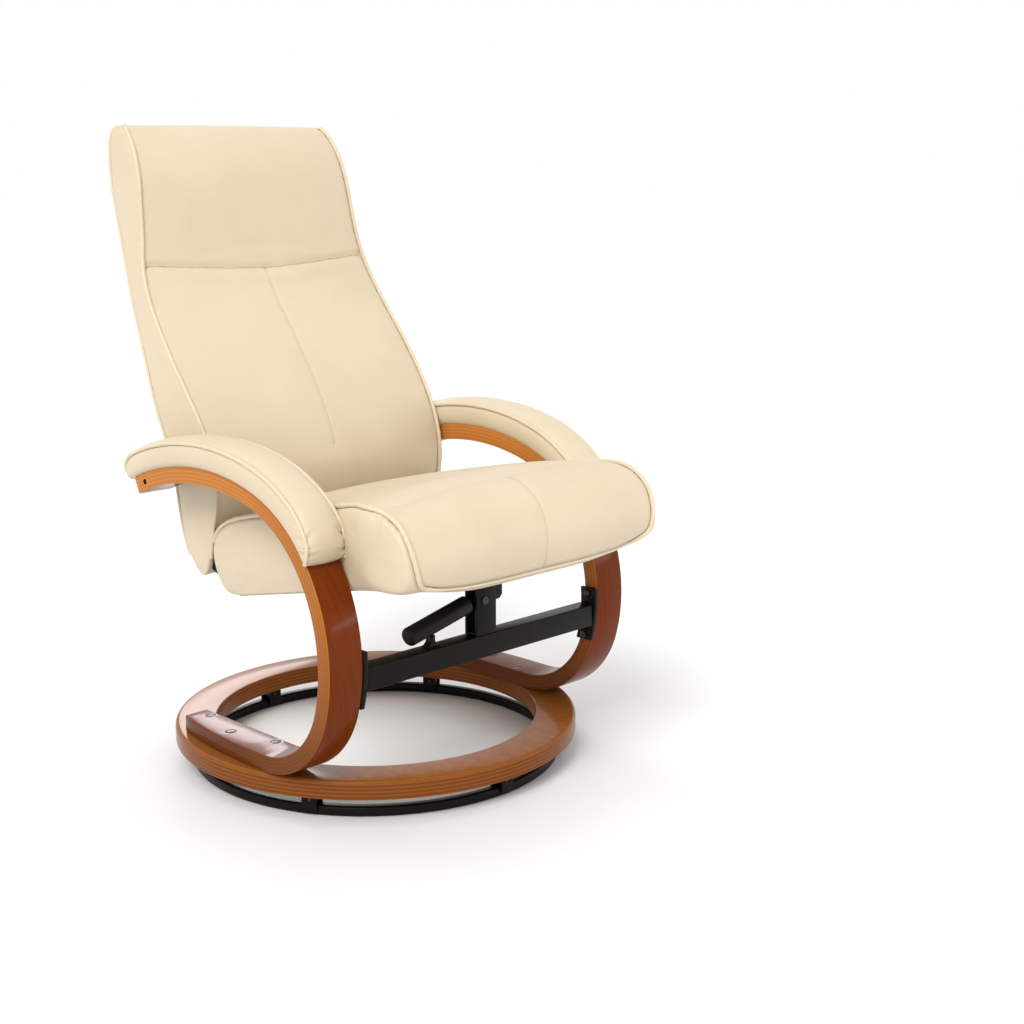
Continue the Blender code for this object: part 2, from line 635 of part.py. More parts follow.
def arm_pad(label, side):
    """The upholstered pad on the arm, rounded at both ends and hollowed to fit the wood."""
    length = PAD_LENGTH + PAD_OVERHANG
    rings = []
    for station in range(PAD_STATIONS):
        share = station / (PAD_STATIONS - 1)
        eased = 0.5 - 0.5 * math.cos(math.pi * share)
        along = length * (0.45 * share + 0.55 * eased)
        front_gone = 1 - min((along + 0.004) / PAD_FRONT_TAPER, 1)
        rear_gone = 1 - min((length - along + 0.0015) / PAD_REAR_ROUND, 1)
        swell = (1 - front_gone ** 2) * math.sqrt(1 - rear_gone ** 2)
        y, z, out = arm_place(PAD_LENGTH - along)
        ring = []
        for step in range(PAD_SECTION_POINTS):
            angle = 2 * math.pi * (step + 0.5) / PAD_SECTION_POINTS
            across = superellipse(math.cos(angle)) * PAD_WIDTH / 2 * (0.72 + 0.28 * swell)
            rise = (1 + superellipse(math.sin(angle))) * PAD_HEIGHT / 2 * (0.25 + 0.75 * swell)
            reach = ARM_THICKNESS / 2 - 0.002 + rise
            ring.append((side * (PAD_CENTRE_X + across), y + out[0] * reach, z + out[1] * reach))
        rings.append(ring)
    pad = loft(f"arm_pad_{label}", rings, LEATHER, 1)
    combine(pad, arm_strip(f"pad_seat_{label}", side, LACQUERED_WOOD, GAP, 2 * PAD_OVERHANG))
    return pad


def superellipse(value):
    return math.copysign(abs(value) ** (2 / PAD_SQUARENESS), value)


# ---------------------------------------------------------------- cross bar

def cross_bar():
    half, wall = BAR_DEPTH / 2, BAR_WALL
    outer = ((BAR_CENTRE_Y - half, BAR_BOTTOM_Z), (BAR_CENTRE_Y + half, BAR_BOTTOM_Z),
             (BAR_CENTRE_Y + half, BAR_TOP_Z), (BAR_CENTRE_Y - half, BAR_TOP_Z))
    inner = ((BAR_CENTRE_Y - half + wall, BAR_BOTTOM_Z + wall),
             (BAR_CENTRE_Y + half - wall, BAR_BOTTOM_Z + wall),
             (BAR_CENTRE_Y + half - wall, BAR_TOP_Z - wall),
             (BAR_CENTRE_Y - half + wall, BAR_TOP_Z - wall))
    return plate("cross_bar", [outer, inner], 2 * (FLANGE_INNER_X - GAP), BLACK_STEEL)


def bar_flange(label, side):
    """The plate that bolts the bar to an arm, with a gusset under the bar."""
    reach = ARM_THICKNESS / 2 + FLANGE_PROUD
    heights = [FLANGE_BOTTOM_Z + (FLANGE_TOP_Z - FLANGE_BOTTOM_Z) * step / 6 for step in range(7)]
    front = [(arm_front_at(height) - reach, height) for height in heights]
    rear = [(arm_front_at(height) + reach, height) for height in reversed(heights)]
    middle = side * (FLANGE_INNER_X + FLANGE_THICKNESS / 2)
    flange = plate(f"bar_flange_{label}", [front + rear], FLANGE_THICKNESS, BLACK_STEEL,
                   (middle, 0, 0))
    root = FLANGE_INNER_X + FLANGE_THICKNESS / 2
    top = BAR_BOTTOM_Z - GAP
    gusset_outline = ((side * root, top), (side * (FLANGE_INNER_X - GUSSET_LENGTH), top),
                      (side * (FLANGE_INNER_X - GUSSET_LENGTH * 0.3), top - GUSSET_HEIGHT * 0.4),
                      (side * FLANGE_INNER_X, top - GUSSET_HEIGHT),
                      (side * root, top - GUSSET_HEIGHT))
    gusset = plate(f"gusset_{label}", [gusset_outline], GUSSET_THICKNESS, BLACK_STEEL,
                   (0, BAR_CENTRE_Y, 0), FRONT_PLANE)
    combine(flange, gusset, "UNION")
    pieces = [flange]
    for name, height in flange_bolts(label):
        y = arm_front_at(height)
        start = (side * FLANGE_INNER_X, y, height)
        axis = (0, side * math.pi / 2, 0)
        hole = pin_profile([(FLANGE_BOLT_RADIUS + GAP, 2 * FLANGE_THICKNESS, -FLANGE_THICKNESS)])
        combine(flange, turned(name + "_clearance", hole, BRIGHT_STEEL, start, axis, steps=16))
        bolt = pin_profile([
            (FLANGE_BOLT_RADIUS, FLANGE_THICKNESS + FLANGE_BOLT_LENGTH, -GAP),
            (FLANGE_BOLT_HEAD, -GAP, -GAP - FLANGE_BOLT_HEAD_HEIGHT)])
        pieces.append(turned(name, bolt, BLACK_STEEL, start, axis, steps=16))
    return pieces


# ---------------------------------------------------------------- slide and lever

def slide_bracket():
    """The folded bracket on the bar that carries the slide's channel and the lever's pin."""
    half, wall = BRACKET_DEPTH / 2, BRACKET_WALL
    front, rear = BAR_CENTRE_Y - half, BAR_CENTRE_Y + half
    bottom = BAR_TOP_Z + GAP
    under = -CHANNEL_CLEARANCE - CHANNEL_HEIGHT - GAP
    outline = ((front, bottom), (front, slide_height(front, under)),
               (front + wall, slide_height(front + wall, under)), (front + wall, bottom + wall),
               (rear - wall, bottom + wall), (rear - wall, slide_height(rear - wall, under)),
               (rear, slide_height(rear, under)), (rear, bottom))
    bracket = plate("slide_bracket", [outline], 2 * BRACKET_HALF_WIDTH, BLACK_STEEL)
    hole = pin_profile([(LEVER_PIN_RADIUS + GAP, BRACKET_DEPTH, -BRACKET_DEPTH)])
    combine(bracket, turned("lever_pin_hole", hole, BRIGHT_STEEL,
                            (LEVER_PIVOT_X, BAR_CENTRE_Y, LEVER_PIVOT_Z), ALONG_Y, steps=20))
    return bracket


def along_slide(name, outline, start, end, colour):
    """A profile drawn across the slide and run along it."""
    y, z = slide_point((start + end) / 2, 0)
    return plate(name, [outline], end - start, colour, (0, y, z),
                 (math.pi / 2 - SLIDE_TILT, 0, 0))


def guide_channel():
    half, wall, slot = CHANNEL_WIDTH / 2, CHANNEL_WALL, CHANNEL_SLOT / 2
    top = -CHANNEL_CLEARANCE
    bottom = top - CHANNEL_HEIGHT
    outline = ((-half, bottom), (half, bottom), (half, top), (slot, top), (slot, top - wall),
               (half - wall, top - wall), (half - wall, bottom + wall),
               (wall - half, bottom + wall), (wall - half, top - wall), (-slot, top - wall),
               (-slot, top), (-half, top))
    return along_slide("guide_channel", outline, -CHANNEL_LENGTH / 2, CHANNEL_LENGTH / 2,
                       BLACK_STEEL)


def slide_rail():
    half = CHANNEL_WIDTH / 2 - CHANNEL_WALL - SLIDING_GAP
    web = RAIL_WEB / 2
    bottom = -CHANNEL_CLEARANCE - CHANNEL_HEIGHT + CHANNEL_WALL + GAP
    foot_top = bottom + RAIL_FOOT
    outline = ((-half, bottom), (half, bottom), (half, foot_top), (web, foot_top), (web, -GAP),
               (-web, -GAP), (-web, foot_top), (-half, foot_top))
    return along_slide("slide_rail", outline, SLIDE_REAR, SLIDE_FRONT, BRIGHT_STEEL)


def slide_plate():
    half, thick = SLIDE_PLATE_HALF_WIDTH, SLIDE_PLATE_THICKNESS
    outline = ((-half, 0), (half, 0), (half, thick), (-half, thick))
    return along_slide("slide_plate", outline, SLIDE_REAR, SLIDE_FRONT, BLACK_STEEL)


def seat_bracket(label, side):
    """The wedge between the slide plate and the seat board."""
    above = SLIDE_PLATE_THICKNESS + GAP
    rear = slide_point(SLIDE_REAR + 0.006, above)
    front = slide_point(SLIDE_FRONT - 0.006, above)
    outline = (rear, front, (front[0], seat_underside(front[0])), (rear[0], seat_underside(rear[0])))
    return plate(f"seat_bracket_{label}", [outline], SEAT_BRACKET_THICKNESS, BLACK_STEEL,
                 (side * SEAT_BRACKET_X, 0, 0))


def grip_line(from_end, up=0.0):
    """x, z along the grip's axis from its outer end, and up across it."""
    x = GRIP_END_X + from_end * math.cos(LEVER_RISE) - up * math.sin(LEVER_RISE)
    z = GRIP_END_Z + from_end * math.sin(LEVER_RISE) + up * math.cos(LEVER_RISE)
    return x, z


def release_lever():
    """The flat lever: a tang in the grip, a boss on the pin and a toe under the slide plate."""
    half, boss = LEVER_BAR_HEIGHT / 2, LEVER_BOSS
    x, z = LEVER_PIVOT_X, LEVER_PIVOT_Z
    toe_left = x + LEVER_TOE
    toe_right = toe_left + BRAKE_PAD_WIDTH
    toe_top = brake_pad_bottom() - GAP
    tang_end, neck_end = GRIP_LENGTH - TANG_LENGTH, GRIP_LENGTH + TANG_NECK
    outline = [grip_line(tang_end, half), grip_line(neck_end, half), (x - boss * 0.8, z + boss),
               (x + boss * 0.8, z + boss), (toe_left, z + half), (toe_left, toe_top),
               (toe_right, toe_top), (toe_right, z), (toe_right - half, z - half),
               (x + boss * 0.8, z - boss), (x - boss * 0.8, z - boss),
               grip_line(neck_end, -half), grip_line(tang_end, -half)]
    hole = circle((LEVER_PIVOT_X, LEVER_PIVOT_Z), LEVER_PIN_RADIUS + RUNNING_GAP)
    return plate("release_lever", [outline, hole], LEVER_THICKNESS, BLACK_STEEL,
                 (0, BAR_CENTRE_Y, 0), FRONT_PLANE)


def brake_pad_bottom():
    return slide_height(BAR_CENTRE_Y + BRAKE_PAD_DEPTH / 2, 0) - 0.0035


def brake_pad():
    """The friction lining on the lever's toe, which bears on the slide plate."""
    front, rear = BAR_CENTRE_Y - BRAKE_PAD_DEPTH / 2, BAR_CENTRE_Y + BRAKE_PAD_DEPTH / 2
    bottom = brake_pad_bottom()
    outline = ((front, bottom), (rear, bottom), (rear, slide_height(rear, -GAP)),
               (front, slide_height(front, -GAP)))
    middle = LEVER_PIVOT_X + LEVER_TOE + BRAKE_PAD_WIDTH / 2
    return plate("brake_pad", [outline], BRAKE_PAD_WIDTH, FRICTION_LINING, (middle, 0, 0))


def lever_grip():
    """The round grip, bored for the lever's tang."""
    radius, length = GRIP_RADIUS, GRIP_LENGTH
    end = circle((radius * 0.6, radius * 0.4 - length), radius * 0.4, 5, 0, -math.pi / 2)
    profile = [(0, 0), (radius * 0.90, 0), (radius, -0.003)] + end + [(0, -length)]
    x, z = grip_line(length)
    turn = (0, math.pi / 2 - LEVER_RISE, 0)
    grip = turned("lever_grip", profile, BLACK_PLASTIC, (x, BAR_CENTRE_Y, z), turn, steps=28)
    half = LEVER_BAR_HEIGHT / 2 + GAP
    tang_end = length - TANG_LENGTH - GAP
    bore = (grip_line(tang_end, half), grip_line(length + 0.01, half),
            grip_line(length + 0.01, -half), grip_line(tang_end, -half))
    combine(grip, plate("tang_bore", [bore], LEVER_THICKNESS + 2 * GAP, BLACK_STEEL,
                        (0, BAR_CENTRE_Y, 0), FRONT_PLANE))
    return grip


def lever_pin():
    reach = BRACKET_DEPTH / 2 + GAP
    profile = pin_profile([
        (LEVER_PIN_HEAD, reach + LEVER_PIN_HEAD_HEIGHT, reach), (LEVER_PIN_RADIUS, reach, -reach),
        (LEVER_PIN_HEAD, -reach, -reach - LEVER_PIN_HEAD_HEIGHT)])
    return turned("lever_pin", profile, BRIGHT_STEEL,
                  (LEVER_PIVOT_X, BAR_CENTRE_Y, LEVER_PIVOT_Z), ALONG_Y, steps=20)


def lever_spring():
    """The closed torsion spring on the lever's pin, in front of the lever."""
    start = BAR_CENTRE_Y - LEVER_THICKNESS / 2 - SPRING_WIRE_RADIUS - SLIDING_GAP
    end = BAR_CENTRE_Y - BRACKET_DEPTH / 2 + BRACKET_WALL + SPRING_WIRE_RADIUS + SLIDING_GAP
    count = 14 * SPRING_TURNS
    curve = bpy.data.curves.new("lever_spring", "CURVE")
    curve.dimensions = "3D"
    curve.bevel_depth = SPRING_WIRE_RADIUS
    curve.bevel_resolution = 1
    curve.use_fill_caps = True
    spline = curve.splines.new("POLY")
    spline.points.add(count)
    for step, point in enumerate(spline.points):
        angle = 2 * math.pi * SPRING_TURNS * step / count
        point.co = (LEVER_PIVOT_X + SPRING_RADIUS * math.cos(angle),
                    start + (end - start) * step / count,
                    LEVER_PIVOT_Z + SPRING_RADIUS * math.sin(angle), 1)
    spring = mesh_of(place("lever_spring", curve, BRIGHT_STEEL))
    spring.modifiers.new("flat faces", "TRIANGULATE")
    return spring


def lever_rest():
    """The lug on the bar that the grip rests on."""
    bottom = BAR_TOP_Z + GAP
    left, right = REST_X - REST_NECK / 2, REST_X + REST_NECK / 2
    fillet_z = bottom + REST_WALL + REST_FILLET

    def under_grip(x):
        axis_z = GRIP_END_Z + (x - GRIP_END_X) * math.tan(LEVER_RISE)
        return axis_z - (GRIP_RADIUS + 3 * GAP) / math.cos(LEVER_RISE)

    outline = [(left - REST_FILLET, bottom)]
    outline += circle((left - REST_FILLET, fillet_z), REST_FILLET, 5, -math.pi / 2, math.pi / 2)
    outline += [(left, under_grip(left)), (right, under_grip(right))]
    outline += circle((right + REST_FILLET, fillet_z), REST_FILLET, 5, math.pi, math.pi / 2)
    outline.append((right + REST_FILLET, bottom))
    return plate("lever_rest", [outline], REST_DEPTH, BLACK_STEEL, (0, BAR_CENTRE_Y, 0),
                 FRONT_PLANE)


# ---------------------------------------------------------------- seat

def seat_cushion():
    """The seat cushion: crowned, rolled over the front and pulled in at its sides."""
    across = (-1.0, -0.93, -0.70, -0.36, 0.0, 0.36, 0.70, 0.93, 1.0)
    middle = Vector((0.21, 0.06))
    count = len(SEAT_PROFILE)
    normals = []
    for index in range(count):
        before, after = SEAT_PROFILE[index - 1], SEAT_PROFILE[(index + 1) % count]
        tangent = Vector((after[0] - before[0], after[1] - before[1])).normalized()
        normals.append(Vector((-tangent.y, tangent.x)))

    def ring(share, shrink=1.0, side_out=0.0):
        points = []
        for (along, up, crown), normal in zip(SEAT_PROFILE, normals):
            swell = SEAT_CROWN * crown * (1 - abs(share) ** 3)
            flat = Vector((along, up)) + normal * swell
            flat = middle + (flat - middle) * shrink
            flared = min(max((flat.x - SEAT_FLARE_FROM) / SEAT_FLARE_LENGTH, 0), 1)
            flare = SEAT_FRONT_FLARE * flared
            x = share * (SEAT_HALF_WIDTH + flare) + math.copysign(side_out, share)
            y, z = seat_point(flat.x, flat.y)
            points.append((x, y, z))
        return points

    rings = [ring(-1, 0.45, SEAT_SIDE_BULGE), ring(-1, 0.86, SEAT_SIDE_BULGE)]
    rings += [ring(share) for share in across]
    rings += [ring(1, 0.86, SEAT_SIDE_BULGE), ring(1, 0.45, SEAT_SIDE_BULGE)]
    cushion = loft("seat_cushion", rings, LEATHER, 1)
    combine(cushion, seat_slab("board_pocket", GAP, -0.03))
    for label, side in SIDES:
        combine(cushion, seat_side_rail(f"rail_slot_{label}", side, GAP))
    return cushion


def seat_slab(name, grow, bottom):
    corners = [seat_point(SEAT_BOARD_FROM - grow, bottom), seat_point(SEAT_BOARD_TO + grow, bottom),
               seat_point(SEAT_BOARD_TO + grow, SEAT_BOARD_THICKNESS + grow),
               seat_point(SEAT_BOARD_FROM - grow, SEAT_BOARD_THICKNESS + grow)]
    return plate(name, [corners], 2 * (SEAT_BOARD_HALF_WIDTH + grow), PLYWOOD)


def seat_side_rail(name, side, grow=0.0):
    """The steel rail beside the seat board, cranked up to the hinge under the back."""
    eye = HINGE_PIN_RADIUS + HINGE_CLEARANCE + 0.0035
    hinge = Vector((HINGE_Y, HINGE_Z))
    bottom = -0.03 if grow else 0.0
    neck_low = Vector(seat_point(0.012, bottom))
    neck_high = Vector(seat_point(0.020, SEAT_BOARD_THICKNESS + grow))
    along = (hinge - neck_low).normalized()
    lean = math.atan2(along.y, along.x)
    round_eye = circle(hinge, eye + grow, 10, lean - math.pi / 2, math.pi)
    outline = [seat_point(SEAT_RAIL_TO + grow, bottom),
               seat_point(SEAT_RAIL_TO + grow, SEAT_BOARD_THICKNESS + grow),
               tuple(neck_high)] + round_eye[::-1] + [tuple(neck_low)]
    outlines = [outline]
    if not grow:
        outlines.append(circle(hinge, HINGE_PIN_RADIUS + HINGE_CLEARANCE))
    middle = (SEAT_RAIL_INNER_X + SEAT_RAIL_OUTER_X) / 2
    return plate(name, outlines, SEAT_RAIL_THICKNESS + 2 * grow, BLACK_STEEL,
                 (side * middle, 0, 0))


# ---------------------------------------------------------------- back

def section_point(section, across, depth):
    """A point of a back section, across by x and forward from its rear face by depth."""
    front_y, front_z, rear_y, rear_z = section[:4]
    forward = Vector((front_y - rear_y, front_z - rear_z)).normalized()
    return (across, rear_y + forward.x * depth, rear_z + forward.y * depth)


def back_cushion():
    """The padded back: a shell-shaped cushion with a seam under the head part."""
    rings = []
    for index, section in enumerate(BACK_SECTIONS):
        half = section[4] * SEAT_HALF_WIDTH
        thick = math.dist(section[0:2], section[2:4])
        seam = BACK_SEAM_DEPTH if index == BACK_SEAM_SECTION else 0.0
        ring = []
        for share in BACK_ACROSS:
            inside = abs(share) < 1
            lift = BACK_CROWN * min(index / BACK_WIDE_FROM, 1) * (1 - share ** 4)
            if share == 0 and BACK_BOARD_FIRST <= index < BACK_SEAM_SECTION:
                lift -= BACK_SEAM_DEPTH * 0.7
            ring.append(section_point(section, share * half, thick + lift - seam * inside))
        bulge = BACK_SIDE_BULGE if index >= BACK_WIDE_FROM else 0.0
        ring.append(section_point(section, half + bulge, thick * 0.5))
        ring += [section_point(section, share * half, 0) for share in BACK_REAR_ACROSS]
        ring.append(section_point(section, -half - bulge, thick * 0.5))
        rings.append(ring)
    cushion = loft("back_cushion", rings, LEATHER, 1)
    combine(cushion, back_slab("cover_pocket", BACK_COVER_FIRST, BACK_COVER_LAST, -0.03,
                               BACK_COVER_THICKNESS + GAP, GAP))
    combine(cushion, back_slab("back_board_pocket", BACK_BOARD_FIRST, BACK_BOARD_LAST,
                               BACK_COVER_THICKNESS - 0.001,
                               BACK_COVER_THICKNESS + BACK_BOARD_THICKNESS + 2 * GAP, GAP,
                               is_board=True))
    return cushion


def back_slab(name, first, last, near, far, grow=0.0, is_board=False, colour=PLYWOOD):
    """A panel that follows the back's rear face between two depths."""
    rings = []
    sections = BACK_SECTIONS[first:last + 1]
    for index, section in enumerate(sections):
        half = section[4] * SEAT_HALF_WIDTH - BACK_EDGE + grow
        if is_board:
            wide = first + index < BACK_WIDE_FROM
            half = BACK_PLATE_INNER_X - GAP + 2 * grow if wide else half - BACK_BOARD_INSET
        ring = [Vector(section_point(section, x, depth)) for x, depth in
                ((-half, near), (half, near), (half, far), (-half, far))]
        if grow and index in (0, len(sections) - 1):
            neighbour = sections[1] if index == 0 else sections[-2]
            run = Vector((0, section[2] - neighbour[2], section[3] - neighbour[3])).normalized()
            ring = [corner + run * grow for corner in ring]
        rings.append(ring)
    return loft(name, rings, colour)


def back_side_plate(label, side):
    """The steel plate at the back's lower corner that holds the pivot and the hinge."""
    pivot, hinge = Vector((PIVOT_Y, PIVOT_Z)), Vector((HINGE_Y, HINGE_Z))
    run = (pivot - hinge).normalized()
    lean = math.atan2(run.y, run.x)
    half = BACK_PLATE_HALF_WIDTH
    top = pivot + run * BACK_PLATE_ABOVE_PIVOT
    aside = Vector((-run.y, run.x)) * (half + 0.004)
    outline = circle(hinge, half, 9, lean + math.pi / 2, math.pi)
    outline += [tuple(pivot - aside), tuple(top - aside), tuple(top + aside), tuple(pivot + aside)]
    holes = [circle(pivot, PIVOT_PIN_RADIUS + RUNNING_GAP), circle(hinge, HINGE_PIN_RADIUS + GAP)]
    middle = BACK_PLATE_INNER_X + BACK_PLATE_THICKNESS / 2
    return plate(f"back_side_plate_{label}", [outline] + holes, BACK_PLATE_THICKNESS,
                 BLACK_STEEL, (side * middle, 0, 0))


def pivot_bolt(label, side):
    """The shoulder bolt through the arm's rear end that the back turns on."""
    profile = pin_profile([
        (PIVOT_HEAD_RADIUS, ARM_OUTER_X - PIVOT_HEAD_SUNK, ARM_INNER_X - GAP),
        (PIVOT_SHOULDER_RADIUS, ARM_INNER_X - GAP, BACK_PLATE_OUTER_X + GAP),
        (PIVOT_PIN_RADIUS, BACK_PLATE_OUTER_X + GAP, BACK_PLATE_INNER_X + GAP)])
    return turned(f"pivot_bolt_{label}", profile, BLACK_STEEL, (0, PIVOT_Y, PIVOT_Z),
                  (0, side * math.pi / 2, 0), steps=20)


def hinge_pin(label, side):
    """The pin between the back's plate and the seat's rail."""
    inner_head = SEAT_RAIL_INNER_X - GAP
    profile = pin_profile([
        (HINGE_HEAD_RADIUS, BACK_PLATE_OUTER_X + GAP + HINGE_HEAD_HEIGHT, BACK_PLATE_OUTER_X + GAP),
        (HINGE_PIN_RADIUS, BACK_PLATE_OUTER_X + GAP, inner_head - HINGE_HEAD_HEIGHT)])
    return turned(f"hinge_pin_{label}", profile, BRIGHT_STEEL, (0, HINGE_Y, HINGE_Z),
                  (0, side * math.pi / 2, 0), steps=20)


# ---------------------------------------------------------------- assembly

def build_base():
    housings, rollers = carriages()
    pieces = [wood_ring(), cross_bar(), slide_bracket(), guide_channel(), lever_pin(),
              lever_spring(), lever_rest()] + housings
    for label, side in SIDES:
        pieces += arm(label, side)
        pieces += bar_flange(label, side)
        pieces += [arm_pad(label, side), pivot_bolt(label, side)]
    swivel = joint_empty("swivel_axis", (0, 0, 0))
    carry(swivel, pieces + rollers)
    return swivel


def build_seat():
    pieces = [seat_cushion(), seat_slab("seat_board", 0.0, 0.0), slide_plate(), slide_rail()]
    for label, side in SIDES:
        pieces += [seat_side_rail(f"seat_side_rail_{label}", side), seat_bracket(label, side)]
    slide = joint_empty("slide_axis", (0, *slide_point(0, 0)))
    carry(slide, pieces)
    return slide


def build_back():
    board_from = BACK_COVER_THICKNESS + GAP
    pieces = [back_cushion(),
              back_slab("back_board", BACK_BOARD_FIRST, BACK_BOARD_LAST, board_from,
                        board_from + BACK_BOARD_THICKNESS, is_board=True),
              back_slab("back_cover", BACK_COVER_FIRST, BACK_COVER_LAST, 0.0,
                        BACK_COVER_THICKNESS, colour=LEATHER)]
    for label, side in SIDES:
        pieces += [back_side_plate(label, side), hinge_pin(label, side)]
    recline = joint_empty("recline_axis", (0, PIVOT_Y, PIVOT_Z))
    carry(recline, pieces)
    return recline


def build_lever():
    axis = joint_empty("lever_axis", (LEVER_PIVOT_X, BAR_CENTRE_Y, LEVER_PIVOT_Z))
    carry(axis, [release_lever(), lever_grip(), brake_pad()])
    return axis


clear_scene()
PARTS = new_collection(COLLECTION_NAME)
CUTTERS = new_collection("cutters")
CUTTERS.hide_render = True
floor_ring()
SWIVEL = build_base()
carry(SWIVEL, [build_seat(), build_back(), build_lever()])
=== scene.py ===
"""Looks for the reclining swivel armchair: leather cushions, bent wood and black steel.

Metres, +Z up. The sitter faces -Y and the sitter's left hand is on the +X side.
"""
import math

import bmesh
import bpy
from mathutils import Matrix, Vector, noise
from mathutils.bvhtree import BVHTree
from mathutils.kdtree import KDTree


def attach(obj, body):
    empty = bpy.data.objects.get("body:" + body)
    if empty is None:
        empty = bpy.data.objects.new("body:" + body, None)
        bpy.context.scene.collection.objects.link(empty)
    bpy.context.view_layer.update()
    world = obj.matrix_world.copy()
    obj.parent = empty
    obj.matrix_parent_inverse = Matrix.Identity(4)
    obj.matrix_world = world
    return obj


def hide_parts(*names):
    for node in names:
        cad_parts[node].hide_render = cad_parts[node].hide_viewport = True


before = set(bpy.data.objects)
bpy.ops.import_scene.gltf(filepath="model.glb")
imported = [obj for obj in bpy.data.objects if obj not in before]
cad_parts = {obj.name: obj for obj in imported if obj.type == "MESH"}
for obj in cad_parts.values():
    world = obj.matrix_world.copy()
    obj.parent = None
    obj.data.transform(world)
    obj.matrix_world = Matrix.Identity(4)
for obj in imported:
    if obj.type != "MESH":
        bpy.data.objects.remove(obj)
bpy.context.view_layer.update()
SIDES = (("right", -1), ("left", 1))
TURN_TO = {"X": (0, math.pi / 2, 0), "Z": (0, 0, 0)}

# ---------------------------------------------------------------- sizes

RING_RADIUS = 0.2945
WOOD_RING_INNER, WOOD_RING_OUTER = 0.264, 0.330
WOOD_RING_BOTTOM, WOOD_RING_TOP = 0.037, 0.067
WOOD_RING_ROUND, WOOD_RING_SHOULDER = 0.0022, 0.0062
FLOOR_RING_WIDTH, FLOOR_RING_HEIGHT, FLOOR_RING_ROUND = 0.017, 0.016, 0.0045
ARM_X = 0.2794
ARM_WIDTH = 0.0616
ARM_THICKNESS = 0.027
ARM_ROUND = 0.0022
FOOT_REAR_Y, FOOT_FRONT_Y = 0.130, -0.100
FOOT_LENGTH = FOOT_REAR_Y - FOOT_FRONT_Y
FOOT_Z = 0.0808
FOOT_TOP = FOOT_Z + ARM_THICKNESS / 2
FOOT_CURVE_FROM, FOOT_CURVE_RADIUS = -0.050, 0.820
ARM_BENDS = ((0.148, 74.0), (0.248, 47.7), (0.219, 43.6), (0.440, 38.8))    # radius, degrees
ARM_RUN = FOOT_LENGTH + sum(radius * math.radians(sweep) for radius, sweep in ARM_BENDS)
FOOT_STEPS, STEPS_PER_RADIAN = 12, 28
FOOT_SCREW_X, FOOT_SCREW_Y = 0.2620, (0.101, -0.070)
SCREW_HEAD_RADIUS, SCREW_HEAD_HEIGHT, SCREW_SUNK = 0.0080, 0.0044, 0.0024
FOOT_PLUG_X, FOOT_PLUG_Y = 0.2830, 0.0165
PLUG_RADIUS, PLUG_HEIGHT, PLUG_SUNK = 0.0074, 0.0040, 0.0017
SCREW_CUTTER = (0.0084, 0.010)  # radius and length
PLUG_CUTTER = (0.0088, 0.003)
PIVOT_CUTTER = (0.0046, 0.012)
PIVOT = Vector((0, 0.18317, 0.46939))
CLEARANCE = 0.0003              # left between steel parts
BAR_Y = -0.249
BAR_BOTTOM, BAR_TOP = 0.214, 0.250
BAR_HALF_DEPTH = 0.015
FLANGE_X = 0.2406               # inner face
FLANGE_THICKNESS, FLANGE_HALF_WIDTH = 0.008, 0.0155
FLANGE_BOTTOM, FLANGE_HEIGHT = 0.1875, 0.0885
FLANGE_BOLTS = (("lower", 0.1965), ("upper", 0.267))
BOLT_HEAD_RADIUS, BOLT_HEAD_HEIGHT = 0.0058, 0.0040
GUSSET_OUTLINE = (              # out from the flange's inner face, and height
    (0.001, 0.2137), (-0.018, 0.2137), (-0.0054, 0.2101), (0.0, 0.2047), (0.001, 0.2047))
GRIP_RADIUS, GRIP_LENGTH, GRIP_RISE = 0.0145, 0.124, math.radians(13)
GRIP_END = Vector((-0.151, BAR_Y, 0.2725))
GRIP_SEAT = 0.0154              # from the grip's axis down to its rest
REST_LEFT, REST_RIGHT, REST_FILLET, REST_FOOT = -0.1075, -0.1005, 0.009, 0.002
SLIDE_Z, SLIDE_SLOPE = 0.345, math.tan(math.radians(18.673))
CHANNEL_CLEARANCE, CHANNEL_HEIGHT = 0.0013, 0.015
POST_WIDTH, POST_HALF_DEPTH, POST_WALL = 0.042, 0.013, 0.004


# ---------------------------------------------------------------- modelling helpers

def start_fresh():
    if bpy.context.object and bpy.context.object.mode == "EDIT":
        bpy.ops.object.mode_set(mode="OBJECT")
    bpy.ops.object.select_all(action="DESELECT")


def edit():
    bpy.ops.object.mode_set(mode="EDIT")


def done_editing():
    bpy.ops.object.mode_set(mode="OBJECT")


def named(name):
    piece = bpy.context.object
    piece.name = name
    piece.data.name = name
    return piece


def apply_place():
    bpy.ops.object.transform_apply(location=True, rotation=True, scale=True)


def add_to_scene(thing):
    bpy.context.scene.collection.objects.link(thing)


def make_active(piece):
    start_fresh()
    piece.select_set(True)
    bpy.context.view_layer.objects.active = piece


def modify(piece, kind, **settings):
    """Add a modifier with these settings and apply it."""
    make_active(piece)
    modifier = piece.modifiers.new(kind.lower(), kind)
    for setting, value in settings.items():
        setattr(modifier, setting, value)
    bpy.ops.object.modifier_apply(modifier=modifier.name)
    return piece


def pick(piece, test, kind="FACE"):
    """In edit mode, select only the faces, edges or vertices whose middle passes the test."""
    bpy.ops.mesh.select_mode(type=kind)
    bpy.ops.mesh.select_all(action="DESELECT")
    shape = bmesh.from_edit_mesh(piece.data)
    if kind == "FACE":
        for face in shape.faces:
            face.select_set(test(face.calc_center_median(), face.normal))
    elif kind == "EDGE":
        for edge in shape.edges:
            edge.select_set(test(edge.verts[0].co, edge.verts[1].co))
    else:
        for vertex in shape.verts:
            vertex.select_set(test(vertex.co))
    shape.select_flush_mode()
    bmesh.update_edit_mesh(piece.data)


